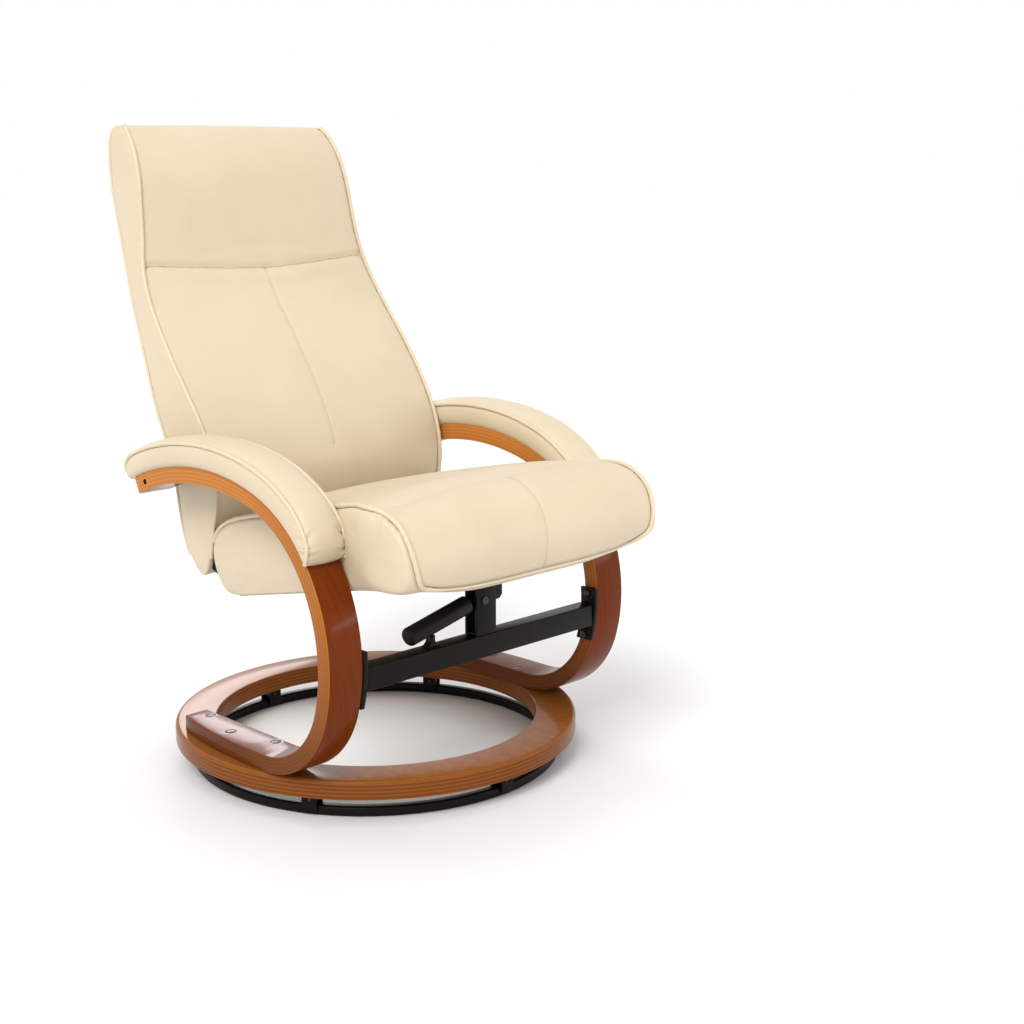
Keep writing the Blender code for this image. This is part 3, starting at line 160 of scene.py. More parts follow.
def round_edges(piece, test, width, segments=2):
    """In edit mode, round the edges whose two ends pass the test."""
    pick(piece, test, "EDGE")
    bpy.ops.mesh.bevel(offset=width, segments=segments, affect="EDGES")


def extrude(x=0.0, y=0.0, z=0.0):
    bpy.ops.mesh.extrude_region_move(TRANSFORM_OT_translate={"value": (x, y, z)})


def close_and_orient():
    bpy.ops.mesh.select_all(action="SELECT")
    bpy.ops.mesh.remove_doubles(threshold=0.00001)
    bpy.ops.mesh.normals_make_consistent(inside=False)


def smooth(angle=35):
    bpy.ops.object.shade_smooth_by_angle(angle=math.radians(angle))


def block(name, low, high, rounding=0.0, segments=2):
    """A block between two corners with rounded edges."""
    start_fresh()
    low, high = Vector(low), Vector(high)
    bpy.ops.mesh.primitive_cube_add(size=1, location=(low + high) / 2)
    piece = named(name)
    piece.scale = high - low
    apply_place()
    if rounding:
        edit()
        bpy.ops.mesh.select_all(action="SELECT")
        bpy.ops.mesh.bevel(offset=rounding, segments=segments, affect="EDGES")
        done_editing()
    smooth()
    return piece


def cylinder(name, radius, length, place, turn=(0, 0, 0), sides=40):
    start_fresh()
    bpy.ops.mesh.primitive_cylinder_add(vertices=sides, radius=radius, depth=length,
                                        location=place, rotation=turn)
    piece = named(name)
    apply_place()
    return piece


def cut(piece, cutter):
    """Cut one piece with another, which is used up."""
    modify(piece, "BOOLEAN", object=cutter, operation="DIFFERENCE", solver="EXACT")
    bpy.data.objects.remove(cutter, do_unlink=True)


def drill(piece, place, radius, length, axis="Z"):
    cut(piece, cylinder("drill", radius, length, place, TURN_TO[axis], 32))


def dress(piece, body, material, *nodes, slot=None):
    """Give a finished piece its material, its body and the CAD nodes that it stands for."""
    piece.data.materials.clear()
    piece.data.materials.append(material)
    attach(piece, body)
    if nodes:
        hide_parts(*nodes)
    slot or nodes[0]
    return piece


# ---------------------------------------------------------------- materials

def new_material(name, colour, roughness, **sockets):
    material = bpy.data.materials.new(name)
    material.use_nodes = True
    shader = material.node_tree.nodes["Principled BSDF"]
    shader.inputs["Base Color"].default_value = (*colour, 1)
    shader.inputs["Roughness"].default_value = roughness
    for socket, value in sockets.items():
        shader.inputs[socket.replace("_", " ")].default_value = value
    return material


class Nodes:
    """Short ways to add and link shader nodes in one material."""

    def __init__(self, material):
        self.tree = material.node_tree
        self.shader = self.tree.nodes["Principled BSDF"]

    def add(self, kind, inputs=None, **settings):
        node = self.tree.nodes.new(kind)
        for setting, value in settings.items():
            setattr(node, setting, value)
        for socket, value in (inputs or {}).items():
            if isinstance(value, bpy.types.NodeSocket):
                self.tree.links.new(value, node.inputs[socket])
            else:
                node.inputs[socket].default_value = value
        return node

    def link(self, source, socket):
        self.tree.links.new(source, self.shader.inputs[socket])

    def place(self):
        return self.add("ShaderNodeTexCoord").outputs["Object"]

    def noise(self, place, scale, detail=3.0, roughness=0.5, distortion=0.0):
        return self.add("ShaderNodeTexNoise", {
            "Vector": place, "Scale": scale, "Detail": detail, "Roughness": roughness,
            "Distortion": distortion}).outputs["Fac"]

    def ramp(self, factor, stops):
        node = self.add("ShaderNodeValToRGB", {"Fac": factor})
        elements = node.color_ramp.elements
        while len(elements) < len(stops):
            elements.new(0.5)
        for element, (position, colour) in zip(elements, stops):
            element.position = position
            element.color = (*colour, 1) if len(colour) == 3 else colour
        return node.outputs["Color"]

    def math(self, operation, first, second=0.0, third=0.0):
        return self.add("ShaderNodeMath", {0: first, 1: second, 2: third},
                        operation=operation).outputs["Value"]

    def mix(self, factor, first, second, blend="MIX"):
        node = self.add("ShaderNodeMix", {"Factor": factor, 6: first, 7: second},
                        data_type="RGBA", blend_type=blend)
        return node.outputs[2]

    def bump(self, height, strength, distance, normal=None):
        inputs = {"Height": height, "Strength": strength, "Distance": distance}
        if normal is not None:
            inputs["Normal"] = normal
        return self.add("ShaderNodeBump", inputs).outputs["Normal"]


def lacquered(name, layers, face_colours, edge_colours, is_ring):
    """Clear lacquered laminate. The piece's UV map holds the run along the grain and the
    depth through the veneers; the veneers show as lines on the cut edges only."""
    material = new_material(name, (0.5, 0.2, 0.06), 0.36, IOR=1.12, Coat_Weight=0.5,
                            Coat_IOR=1.20, Coat_Roughness=0.13)
    n = Nodes(material)
    uv = n.add("ShaderNodeUVMap", uv_map="grain").outputs["UV"]
    parts = n.add("ShaderNodeSeparateXYZ", {"Vector": uv})
    run, depth = parts.outputs["X"], parts.outputs["Y"]
    thick = 1.0 / layers
    # fine pores drawn out along the grain
    stretched = n.add("ShaderNodeCombineXYZ", {"X": n.math("MULTIPLY", run, 14.0),
                                               "Y": n.math("MULTIPLY", depth, 16.0)}).outputs[0]
    objects = n.place()
    spread = n.add("ShaderNodeVectorMath", {0: stretched, 1: n.add("ShaderNodeVectorMath", {
        0: objects, 1: (70.0, 3.0, 3.0) if not is_ring else (12.0, 12.0, 40.0)},
        operation="MULTIPLY").outputs[0]}, operation="ADD").outputs[0]
    grain = n.noise(spread, 3.2, 5.0, 0.62, 0.4)
    broad = n.noise(objects, 5.5, 2.0, 0.5)
    face = n.ramp(grain, [(0.28, face_colours[0]), (0.72, face_colours[1])])
    face = n.mix(n.math("MULTIPLY", broad, 0.35), face, (*face_colours[2], 1))
    # veneers on the cut edge: every other layer is end grain and darker
    wobble = n.math("MULTIPLY_ADD", n.noise(n.add("ShaderNodeCombineXYZ", {
        "X": n.math("MULTIPLY", run, 9.0)}).outputs[0], 1.0, 2.0), 0.10 * thick, depth)
    cell = n.math("FRACT", n.math("DIVIDE", wobble, 2 * thick))
    layer = n.ramp(cell, [(0.0, (0.05,) * 3), (0.04, (0.9,) * 3), (0.46, (0.8,) * 3),
                          (0.50, (0.0,) * 3), (0.54, (0.45,) * 3), (0.97, (0.35,) * 3)])
    fine = n.noise(n.add("ShaderNodeVectorMath", {0: stretched, 1: (1.0, 9.0, 1.0)},
                         operation="MULTIPLY").outputs[0], 4.0, 4.0, 0.6)
    edge = n.mix(layer, (*edge_colours[0], 1), (*edge_colours[1], 1))
    edge = n.mix(n.math("MULTIPLY", fine, 0.45), edge, (*edge_colours[2], 1))
    normal = n.add("ShaderNodeTexCoord").outputs["Normal"]
    axis = n.add("ShaderNodeSeparateXYZ", {"Vector": normal})
    if is_ring:
        flat = n.math("ABSOLUTE", axis.outputs["Z"])
        is_edge = n.ramp(flat, [(0.45, (1,) * 3), (0.62, (0,) * 3)])
    else:
        sideways = n.math("ABSOLUTE", axis.outputs["X"])
        is_edge = n.ramp(sideways, [(0.50, (0,) * 3), (0.70, (1,) * 3)])
    colour = n.mix(is_edge, face, edge)
    if not is_ring:             # painted shade: the cut edges darken towards the foot, as shade falls on the lower arm
        # the ramp below is painted shade, multiplied into the cut edges' colour along the run from
        # the foot
        shade = n.ramp(run, [(0.16, (0.23, 0.165, 0.14)), (0.34, (0.32, 0.25, 0.22)),
                             (0.56, (0.72, 0.66, 0.60)), (0.82, (1.0, 1.0, 1.0))])
        colour = n.mix(1.0, colour, n.mix(is_edge, (0.92, 0.92, 0.92, 1), shade), "MULTIPLY")
    n.link(colour, "Base Color")
    n.link(n.bump(n.mix(is_edge, grain, layer), 0.10, 0.0004), "Normal")
    return material


def leather(name, tone=1.0):
    """Smooth ivory leather with a fine grain, soft creases and slight mottling."""
    material = new_material(name, (0.60 * tone, 0.50 * tone, 0.352 * tone), 0.44,
                            Specular_IOR_Level=0.38, Coat_Weight=0.10, Coat_Roughness=0.35,
                            Sheen_Weight=0.06, Sheen_Roughness=0.4)
    n = Nodes(material)
    place = n.place()
    mottle = n.noise(place, 7.0, 4.0, 0.55)
    base = n.ramp(mottle, [(0.30, (0.580 * tone, 0.482 * tone, 0.337 * tone)),
                           (0.70, (0.620 * tone, 0.520 * tone, 0.372 * tone))])
    pebbles = n.add("ShaderNodeTexVoronoi", {"Vector": place, "Scale": 620.0,
                                             "Randomness": 1.0}, feature="DISTANCE_TO_EDGE")
    grain = n.ramp(pebbles.outputs["Distance"], [(0.0, (0,) * 3), (0.10, (1,) * 3)])
    pores = n.noise(place, 900.0, 2.0, 0.6)
    creases = n.noise(place, 34.0, 5.0, 0.62, 0.8)
    swell = n.noise(place, 11.0, 3.0, 0.5, 0.3)
    rough = n.ramp(n.noise(place, 60.0, 3.0), [(0.3, (0.38,) * 3), (0.7, (0.52,) * 3)])
    n.link(base, "Base Color")
    n.link(rough, "Roughness")
    normal = n.bump(swell, 0.20, 0.006)
    normal = n.bump(creases, 0.16, 0.0018, normal)
    normal = n.bump(grain, 0.10, 0.0003, normal)
    normal = n.bump(pores, 0.08, 0.0002, normal)
    n.link(normal, "Normal")
    return material


def painted_steel(name, colour, roughness):
    material = new_material(name, colour, roughness, IOR=1.19, Coat_Weight=0.08,
                            Coat_IOR=1.3, Coat_Roughness=0.22)
    n = Nodes(material)
    place = n.place()
    speck = n.noise(place, 700.0, 2.0)
    shade = n.noise(place, 18.0, 3.0)
    n.link(n.ramp(shade, [(0.3, colour), (0.75, tuple(c * 1.5 for c in colour))]), "Base Color")
    n.link(n.bump(speck, 0.10, 0.0002), "Normal")
    return material


ARM_WOOD = lacquered("cherry laminate", 9,
                     ((0.138, 0.021, 0.0014), (0.195, 0.037, 0.0026), (0.100, 0.014, 0.0010)),
                     ((0.420, 0.140, 0.022), (0.600, 0.235, 0.052), (0.260, 0.072, 0.010)), False)
RING_WOOD = lacquered("cherry plywood", 10,
                      ((0.200, 0.060, 0.009), (0.290, 0.098, 0.018), (0.155, 0.043, 0.006)),
                      ((0.090, 0.022, 0.004), (0.270, 0.086, 0.017), (0.140, 0.038, 0.007)), True)
BLACK_STEEL = painted_steel("black enamel", (0.0045, 0.0034, 0.0030), 0.34)
GRIP_RUBBER = painted_steel("black grip", (0.0080, 0.0055, 0.0055), 0.42)
BOLT_STEEL = new_material("blackened bolt", (0.045, 0.042, 0.040), 0.32, Metallic=0.85)
STAINED_PLUG = new_material("stained plug", (0.105, 0.024, 0.006), 0.36, IOR=1.14,
                            Coat_Weight=0.6, Coat_IOR=1.2, Coat_Roughness=0.13)
BRIGHT_STEEL = new_material("zinc plated steel", (0.42, 0.42, 0.43), 0.34, Metallic=1.0)
RAW_PLYWOOD = new_material("raw plywood", (0.42, 0.27, 0.13), 0.7)
BLACK_NYLON = new_material("black nylon", (0.012, 0.012, 0.012), 0.5)
LINING = new_material("friction lining", (0.07, 0.05, 0.04), 0.9)
LEATHER = leather("ivory leather")
# the welts' leather is the ivory leather made 4 % lighter: a painted highlight on the raised welts
HIGHLIT_WELT_LEATHER = leather("ivory leather welt with painted highlight", 1.04)
THREAD = new_material("seam thread", (0.53, 0.43, 0.30), 0.8)


# ---------------------------------------------------------------- bent arms

def outward(heading):
    """The direction out of a bend, in y and z, where the arm runs along a heading."""
    return Vector((-math.sin(heading), math.cos(heading)))


def arm_bends():
    """Each bend from the foot up: its centre, its radius, the heading it starts on, its sweep."""
    heading, middle = math.pi, Vector((FOOT_FRONT_Y, FOOT_Z))
    for radius, degrees in ARM_BENDS:
        sweep = math.radians(degrees)
        centre = middle + radius * Vector((math.sin(heading), -math.cos(heading)))
        yield centre, radius, heading, sweep
        heading -= sweep
        middle = centre + radius * outward(heading)


def arm_at(y, z):
    """How far along the arm's middle line a point is, and how far outside of it."""
    if z < FOOT_Z + 0.03 and y >= FOOT_FRONT_Y:
        return FOOT_REAR_Y - y, FOOT_Z - z
    run, best = FOOT_LENGTH, (1e9, 0, 0)
    for centre, radius, heading, sweep in arm_bends():
        start = outward(heading)
        spoke = Vector((y, z)) - centre
        turned = math.atan2(start.y * spoke.x - start.x * spoke.y, start.dot(spoke))
        inside = min(max(turned, 0), sweep)
        miss = abs(turned - inside)
        if miss < best[0]:
            best = (miss, run + inside * radius, spoke.length - radius)
        run += sweep * radius
    return best[1], best[2]


def arm_place(from_end):
    """Middle of the arm at a distance before its rear end: y, z and the outward direction."""
    bends = list(arm_bends())
    if from_end <= 0:
        centre, radius, begin, sweep = bends[-1]
        heading = begin - sweep
        middle = centre + radius * outward(heading)
        return middle - from_end * Vector((math.cos(heading), math.sin(heading))), outward(heading)
    for centre, radius, begin, sweep in reversed(bends):
        length = radius * sweep
        if from_end <= length:
            out = outward(begin - sweep + from_end / radius)
            return centre + radius * out, out
        from_end -= length
    return Vector((FOOT_FRONT_Y + from_end, FOOT_Z)), Vector((0, -1))


def bent_arm(label, side):
    """One laminated arm: a rounded section drawn along the foot and bent up through four arcs."""
    start_fresh()
    bpy.ops.mesh.primitive_plane_add(size=1, location=(side * ARM_X, FOOT_REAR_Y, FOOT_Z),
                                     rotation=(math.pi / 2, 0, 0))
    arm = named(f"bent_arm_{label}")
    arm.scale = (ARM_WIDTH, ARM_THICKNESS, 1)
    apply_place()
    edit()
    bpy.ops.mesh.select_all(action="SELECT")
    bpy.ops.mesh.bevel(offset=ARM_ROUND, segments=3, affect="VERTICES")
    bpy.ops.mesh.select_all(action="SELECT")
    bpy.ops.mesh.delete(type="ONLY_FACE")
    bpy.ops.mesh.select_all(action="SELECT")
    for step in range(FOOT_STEPS):
        extrude(y=-FOOT_LENGTH / FOOT_STEPS)
    for centre, radius, heading, sweep in arm_bends():
        bpy.ops.mesh.spin(steps=round(sweep * STEPS_PER_RADIAN), angle=sweep,
                          center=(0, centre.x, centre.y), axis=(1, 0, 0))
    bpy.ops.mesh.edge_face_add()
    pick(arm, lambda a, b: min(a.y, b.y) > FOOT_REAR_Y - 1e-5 and max(a.z, b.z) < FOOT_TOP + 1e-5,
         "EDGE")
    bpy.ops.mesh.edge_face_add()
    close_and_orient()
    done_editing()
    for vertex in arm.data.vertices:
        place = vertex.co
        if place.z < FOOT_TOP + 0.001 and place.y > FOOT_CURVE_FROM and abs(place.x) > ARM_X:
            gone = place.y - FOOT_CURVE_FROM
            place.x -= side * (FOOT_CURVE_RADIUS - math.sqrt(FOOT_CURVE_RADIUS ** 2 - gone ** 2))
    edit()
    pick(arm, lambda middle, normal: abs(arm_at(middle.y, middle.z)[0] - ARM_RUN) < 1e-4
         or middle.y > FOOT_REAR_Y - 1e-5 and middle.z < FOOT_TOP)
    bpy.ops.mesh.region_to_loop()
    bpy.ops.mesh.bevel(offset=0.0014, segments=2, affect="EDGES")
    done_editing()
    for y in FOOT_SCREW_Y:
        drill(arm, (side * FOOT_SCREW_X, y, FOOT_TOP), *SCREW_CUTTER)
    drill(arm, (side * FOOT_PLUG_X, FOOT_PLUG_Y, FOOT_TOP), *PLUG_CUTTER)
    drill(arm, (side * (ARM_X + ARM_WIDTH / 2), PIVOT.y, PIVOT.z), *PIVOT_CUTTER, "X")

    def grain(place):
        run, outside = arm_at(place.y, place.z)
        return run, outside / ARM_THICKNESS + 0.5

    grain_map(arm, grain)
    make_active(arm)
    smooth(28)
    return dress(arm, "swivel_base", ARM_WOOD, f"arm_frame_{label}")


def grain_map(piece, uv_of):
    """A UV map that follows the laminate: run along the grain, depth through the veneers."""
    uv_map = piece.data.uv_layers.new(name="grain")
    for loop in piece.data.loops:
        uv_map.data[loop.index].uv = uv_of(piece.data.vertices[loop.vertex_index].co)


def turned_ring(name, radius, width, bottom, top, rounding, steps, segments=2, shoulder=0.0):
    """A ring turned about the chair's axis from a rounded section; the shoulder is the larger
    rounding of its top outer edge."""
    start_fresh()
    middle = (bottom + top) / 2
    bpy.ops.mesh.primitive_plane_add(size=1, location=(radius, 0, middle),
                                     rotation=(math.pi / 2, 0, 0))
    ring = named(name)
    ring.scale = (width, top - bottom, 1)
    apply_place()
    edit()
    bpy.ops.mesh.select_all(action="SELECT")
    if shoulder:
        pick(ring, lambda place: place.x > radius and place.z > middle, "VERT")
        bpy.ops.mesh.bevel(offset=shoulder, segments=6, affect="VERTICES")
        pick(ring, lambda place: place.x < radius or place.z < middle, "VERT")
    bpy.ops.mesh.bevel(offset=rounding, segments=segments, affect="VERTICES")
    bpy.ops.mesh.select_all(action="SELECT")
    bpy.ops.mesh.delete(type="ONLY_FACE")
    bpy.ops.mesh.select_all(action="SELECT")
    bpy.ops.mesh.spin(steps=steps, angle=2 * math.pi, center=(0, 0, 0), axis=(0, 0, 1))
    close_and_orient()
    done_editing()
    smooth(40)
    return ring


def base_rings():
    ring = turned_ring("plywood_ring", (WOOD_RING_INNER + WOOD_RING_OUTER) / 2,
                       WOOD_RING_OUTER - WOOD_RING_INNER, WOOD_RING_BOTTOM, WOOD_RING_TOP,
                       WOOD_RING_ROUND, 192, 3, WOOD_RING_SHOULDER)
    height = WOOD_RING_TOP - WOOD_RING_BOTTOM
    grain_map(ring, lambda place: (RING_RADIUS * math.atan2(place.y, place.x),
                                   (place.z - WOOD_RING_BOTTOM) / height))
    dress(ring, "swivel_base", RING_WOOD, "wood_ring")
    steel = turned_ring("steel_floor_ring", RING_RADIUS, FLOOR_RING_WIDTH, 0.0,
                        FLOOR_RING_HEIGHT, FLOOR_RING_ROUND, 160, 4)
    dress(steel, "floor_base", BLACK_STEEL, "floor_ring")


base_rings()
for label, side in SIDES:
    bent_arm(label, side)


# ---------------------------------------------------------------- steel parts

def is_level(a, b, axis):
    """Whether an edge between two points keeps its place along an axis."""
    place = "XYZ".index(axis)
    return abs(a[place] - b[place]) < 1e-6


def plate(name, outline, thickness, across, rounding=0.0):
    """A flat piece of steel from its outline. across is the axis that it is thick along, and
    the outline is drawn in the other two, centred on the chair's origin."""
    start_fresh()
    bpy.ops.mesh.primitive_circle_add(vertices=len(outline), radius=1, fill_type="NGON")
    piece = named(name)
    for vertex, (first, second) in zip(piece.data.vertices, outline):
        vertex.co = (-thickness / 2, first, second) if across == "X" else \
            (first, -thickness / 2, second)
    edit()
    bpy.ops.mesh.select_all(action="SELECT")
    extrude(**{across.lower(): thickness})
    close_and_orient()
    if rounding:
        round_edges(piece, lambda a, b: is_level(a, b, across), rounding)
    done_editing()
    smooth()
    return piece


def moved(piece, x=0.0, y=0.0, z=0.0):
    make_active(piece)
    bpy.ops.transform.translate(value=(x, y, z))
    apply_place()
    return piece


def arm_front(height):
    """y of the middle of the arm's front at a height, found by halving the run above the foot."""
    low, high = 0.10, 0.80
    for halving in range(40):
        trial = (low + high) / 2
        if arm_place(ARM_RUN - FOOT_LENGTH - trial)[0].y < height:
            low = trial
        else:
            high = trial
    return arm_place(ARM_RUN - FOOT_LENGTH - low)[0].x


def bar_and_flanges():
    half = FLANGE_X - CLEARANCE
    bar = block("steel_cross_bar", (-half, BAR_Y - BAR_HALF_DEPTH, BAR_BOTTOM),
                (half, BAR_Y + BAR_HALF_DEPTH, BAR_TOP), 0.0028, 3)
    dress(bar, "swivel_base", BLACK_STEEL, "cross_bar")
    heights = [FLANGE_BOTTOM + FLANGE_HEIGHT * step / 8 for step in range(9)]
    outline = [(arm_front(z) - FLANGE_HALF_WIDTH, z) for z in heights]
    outline += [(arm_front(z) + FLANGE_HALF_WIDTH, z) for z in reversed(heights)]
    for label, side in SIDES:
        flange = moved(plate(f"steel_flange_{label}", outline, FLANGE_THICKNESS, "X", 0.0012),
                       x=side * (FLANGE_X + FLANGE_THICKNESS / 2))
        corners = [(side * (FLANGE_X + out), z) for out, z in GUSSET_OUTLINE]
        gusset = moved(plate(f"steel_gusset_{label}", corners, 0.006, "Y"), y=BAR_Y)
        dress(gusset, "swivel_base", BLACK_STEEL, slot=f"bar_flange_{label}")
        dress(flange, "swivel_base", BLACK_STEEL, f"bar_flange_{label}")


def socket_head(name, place, radius, height, axis, body, node):
    """A round screw head with a bevelled rim and a hexagon socket."""
    head = cylinder(name, radius, height, place, TURN_TO[axis])
    edit()
    round_edges(head, lambda a, b: is_level(a, b, axis), min(radius * 0.16, height * 0.3))
    done_editing()
    socket = cylinder("socket", radius * 0.46, height * 3, place, TURN_TO[axis], 6)
    reach = -height * 2.1 if axis == "X" and place[0] > 0 else height * 2.1
    shift = Vector((reach, 0, 0)) if axis == "X" else Vector((0, 0, reach))
    for vertex in socket.data.vertices:
        vertex.co += shift
    cut(head, socket)
    make_active(head)
    smooth(30)
    return dress(head, body, BOLT_STEEL, node)


def screws():
    for label, side in SIDES:
        plug = cylinder(f"foot_plug_cap_{label}", PLUG_RADIUS, PLUG_HEIGHT,
                        (side * FOOT_PLUG_X, FOOT_PLUG_Y, FOOT_TOP - PLUG_SUNK))
        edit()
        round_edges(plug, lambda a, b: is_level(a, b, "Z") and a.z > FOOT_TOP - 0.001, 0.0010, 3)
        done_editing()
        smooth(35)
        dress(plug, "swivel_base", STAINED_PLUG, f"foot_plug_{label}")
        for index, y in enumerate(FOOT_SCREW_Y):
            socket_head(f"foot_screw_head_{label}_{index + 1}",
                        (side * FOOT_SCREW_X, y, FOOT_TOP - SCREW_SUNK), SCREW_HEAD_RADIUS,
                        SCREW_HEAD_HEIGHT, "Z", "swivel_base", f"foot_screw_{label}_{index + 1}")
        for name, z in FLANGE_BOLTS:
            socket_head(f"flange_bolt_head_{label}_{name}",
                        (side * (FLANGE_X - BOLT_HEAD_HEIGHT / 2 - CLEARANCE), arm_front(z), z),
                        BOLT_HEAD_RADIUS, BOLT_HEAD_HEIGHT, "X", "swivel_base",
                        f"flange_bolt_{label}_{name}")


def release_lever():
    """The round grip, the folded post under the slide's channel and the grip's rest on the bar."""
    run = Vector((math.cos(GRIP_RISE), 0, math.sin(GRIP_RISE)))
    grip = cylinder("lever_grip_round", GRIP_RADIUS, GRIP_LENGTH,
                    GRIP_END + run * (GRIP_LENGTH / 2), (0, math.pi / 2 - GRIP_RISE, 0), 56)
    edit()
    round_edges(grip, lambda a, b: abs((a - b).dot(run)) < 1e-5
                and (a - GRIP_END).dot(run) < 0.01, 0.0060, 5)
    round_edges(grip, lambda a, b: abs((a - b).dot(run)) < 1e-5
                and (a - GRIP_END).dot(run) > 0.12, 0.0016)
    done_editing()
    smooth(40)
    dress(grip, "lever", GRIP_RUBBER, "lever_grip")

    def top_of(y):
        down = (CHANNEL_CLEARANCE + CHANNEL_HEIGHT + CLEARANCE) / math.cos(math.atan(SLIDE_SLOPE))
        return SLIDE_Z + (BAR_Y - y) * SLIDE_SLOPE - down

    front, rear, wall = BAR_Y - POST_HALF_DEPTH, BAR_Y + POST_HALF_DEPTH, POST_WALL
    bottom = BAR_TOP + CLEARANCE
    outline = ((front, bottom), (front, top_of(front)), (front + wall, top_of(front + wall)),
               (front + wall, bottom + wall), (rear - wall, bottom + wall),
               (rear - wall, top_of(rear - wall)), (rear, top_of(rear)), (rear, bottom))
    post = plate("folded_post", outline, POST_WIDTH, "X", 0.0009)
    dress(post, "swivel_base", BLACK_STEEL, "slide_bracket")

    def under_grip(x):
        axis_z = GRIP_END.z + (x - GRIP_END.x) * math.tan(GRIP_RISE)
        return axis_z - GRIP_SEAT / math.cos(GRIP_RISE)

    def fillet(centre, begin):
        turns = [math.radians(begin + 15 * step) for step in range(7)]
        return [(centre + REST_FILLET * math.cos(turn),
                 bottom + REST_FOOT + REST_FILLET + REST_FILLET * math.sin(turn))
                for turn in turns]

    left, right = REST_LEFT - REST_FILLET, REST_RIGHT + REST_FILLET
    outline = [(left, bottom), *fillet(left, -90), (REST_LEFT, under_grip(REST_LEFT)),
               (REST_RIGHT, under_grip(REST_RIGHT)), *fillet(right, 180), (right, bottom)]
    rest = moved(plate("grip_rest", outline, 0.014, "Y", 0.0006), y=BAR_Y)
    dress(rest, "swivel_base", BLACK_STEEL, "lever_rest")


def eased(node, body, material, width):
    """A finished copy of a plain CAD part: one clean skin with its edges eased."""
    start_fresh()
    piece = bpy.data.objects.new(f"{node}_finished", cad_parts[node].data.copy())
    add_to_scene(piece)
    make_active(piece)
    edit()
    close_and_orient()
    bpy.ops.mesh.dissolve_limited(angle_limit=math.radians(2))
    done_editing()
    modify(piece, "BEVEL", width=width, segments=2, limit_method="ANGLE",
           angle_limit=math.radians(38), use_clamp_overlap=True)
    smooth(38)
    return dress(piece, body, material, node)


def hardware():
    for number in range(1, 7):
        eased(f"roller_housing_{number}", "swivel_base", BLACK_STEEL, 0.0012)
        eased(f"roller_{number}", f"roller_{number}", BLACK_NYLON, 0.0005)
    for label, side in SIDES:
        eased(f"seat_side_rail_{label}", "seat", BLACK_STEEL, 0.0006)
        eased(f"seat_bracket_{label}", "seat", BLACK_STEEL, 0.0005)
        eased(f"back_side_plate_{label}", "back", BLACK_STEEL, 0.0006)
        eased(f"hinge_pin_{label}", "back", BRIGHT_STEEL, 0.0005)
        eased(f"pivot_bolt_{label}", "swivel_base", BOLT_STEEL, 0.0006)
    eased("guide_channel", "swivel_base", BLACK_STEEL, 0.0005)
    eased("slide_plate", "seat", BLACK_STEEL, 0.0006)
    eased("slide_rail", "seat", BRIGHT_STEEL, 0.0004)
    eased("release_lever", "lever", BLACK_STEEL, 0.0006)
    eased("brake_pad", "lever", LINING, 0.0004)
    eased("lever_pin", "swivel_base", BOLT_STEEL, 0.0004)
    eased("seat_board", "seat", RAW_PLYWOOD, 0.0010)
    eased("back_board", "back", RAW_PLYWOOD, 0.0010)
    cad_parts["lever_spring"].material_slots[0].material = BRIGHT_STEEL


bar_and_flanges()
screws()
release_lever()
hardware()


# ---------------------------------------------------------------- leather helpers

def cage(name, rings, creased=()):
    """A closed cage through rings of paired points: each ring runs along one side of its
    outline and comes back along the other, and the two end rings are closed pair by pair."""
    count = len(rings[0])
    half = count // 2
    mesh = bpy.data.meshes.new(name)
    shape = bmesh.new()
    crease = shape.edges.layers.float.new("crease_edge")
    loops = [[shape.verts.new(point) for point in ring] for ring in rings]
    for lower, upper in zip(loops, loops[1:]):
        for index in range(count):
            after = (index + 1) % count
            shape.faces.new((lower[index], lower[after], upper[after], upper[index]))
    for loop in (loops[0], loops[-1]):
        for index in range(half - 1):
            shape.faces.new((loop[index], loop[index + 1], loop[count - 2 - index],
                             loop[count - 1 - index]))
    for number, sharpness in creased:
        loop = loops[number]
        for index in range(count):
            edge = shape.edges.get((loop[index], loop[(index + 1) % count]))
            edge[crease] = sharpness
    bmesh.ops.recalc_face_normals(shape, faces=shape.faces)
    shape.to_mesh(mesh)
    shape.free()
    mesh.shade_smooth()
    piece = bpy.data.objects.new(name, mesh)
    add_to_scene(piece)
    return piece


SHARES = (-1.0, -0.965, -0.86, -0.62, -0.32, 0.0, 0.32, 0.62, 0.86, 0.965, 1.0)


def all_rings(ring_of, sides):
    """A cushion's rings: its right side panel, across its middle, and its left side panel."""
    rings = [ring_of(-1, shrink, out) for shrink, out in sides]
    rings += [ring_of(share) for share in SHARES]
    return rings + [ring_of(1, shrink, out) for shrink, out in reversed(sides)]


def stuff(piece, is_sewn, pressure, cap, frames=18):
    """Let the cover swell under its stuffing, held where it is sewn, and no further than cap."""
    rest = [vertex.co.copy() for vertex in piece.data.vertices]
    sewn = piece.vertex_groups.new(name="sewn")
    for index, place in enumerate(rest):
        weight = is_sewn(place)
        if weight > 0:
            sewn.add([index], weight, "REPLACE")
    make_active(piece)
    cloth = piece.modifiers.new("stuffing", "CLOTH")
    cover = cloth.settings
    cover.quality = 5
    cover.mass = 0.35
    cover.tension_stiffness = cover.compression_stiffness = 30
    cover.shear_stiffness = 12
    cover.bending_stiffness = 1.5
    cover.use_pressure = True
    cover.uniform_pressure_force = pressure
    cover.vertex_group_mass = "sewn"
    cover.effector_weights.gravity = 0
    cloth.collision_settings.use_collision = False
    cloth.point_cache.frame_start = 1
    cloth.point_cache.frame_end = frames
    scene = bpy.context.scene
    for step in range(1, frames + 1):
        scene.frame_set(step)
    bpy.ops.object.modifier_apply(modifier=cloth.name)
    scene.frame_set(1)
    for vertex, start in zip(piece.data.vertices, rest):
        moved = vertex.co - start
        if moved.length > cap:
            vertex.co = start + moved * (cap / moved.length)
    piece.vertex_groups.clear()


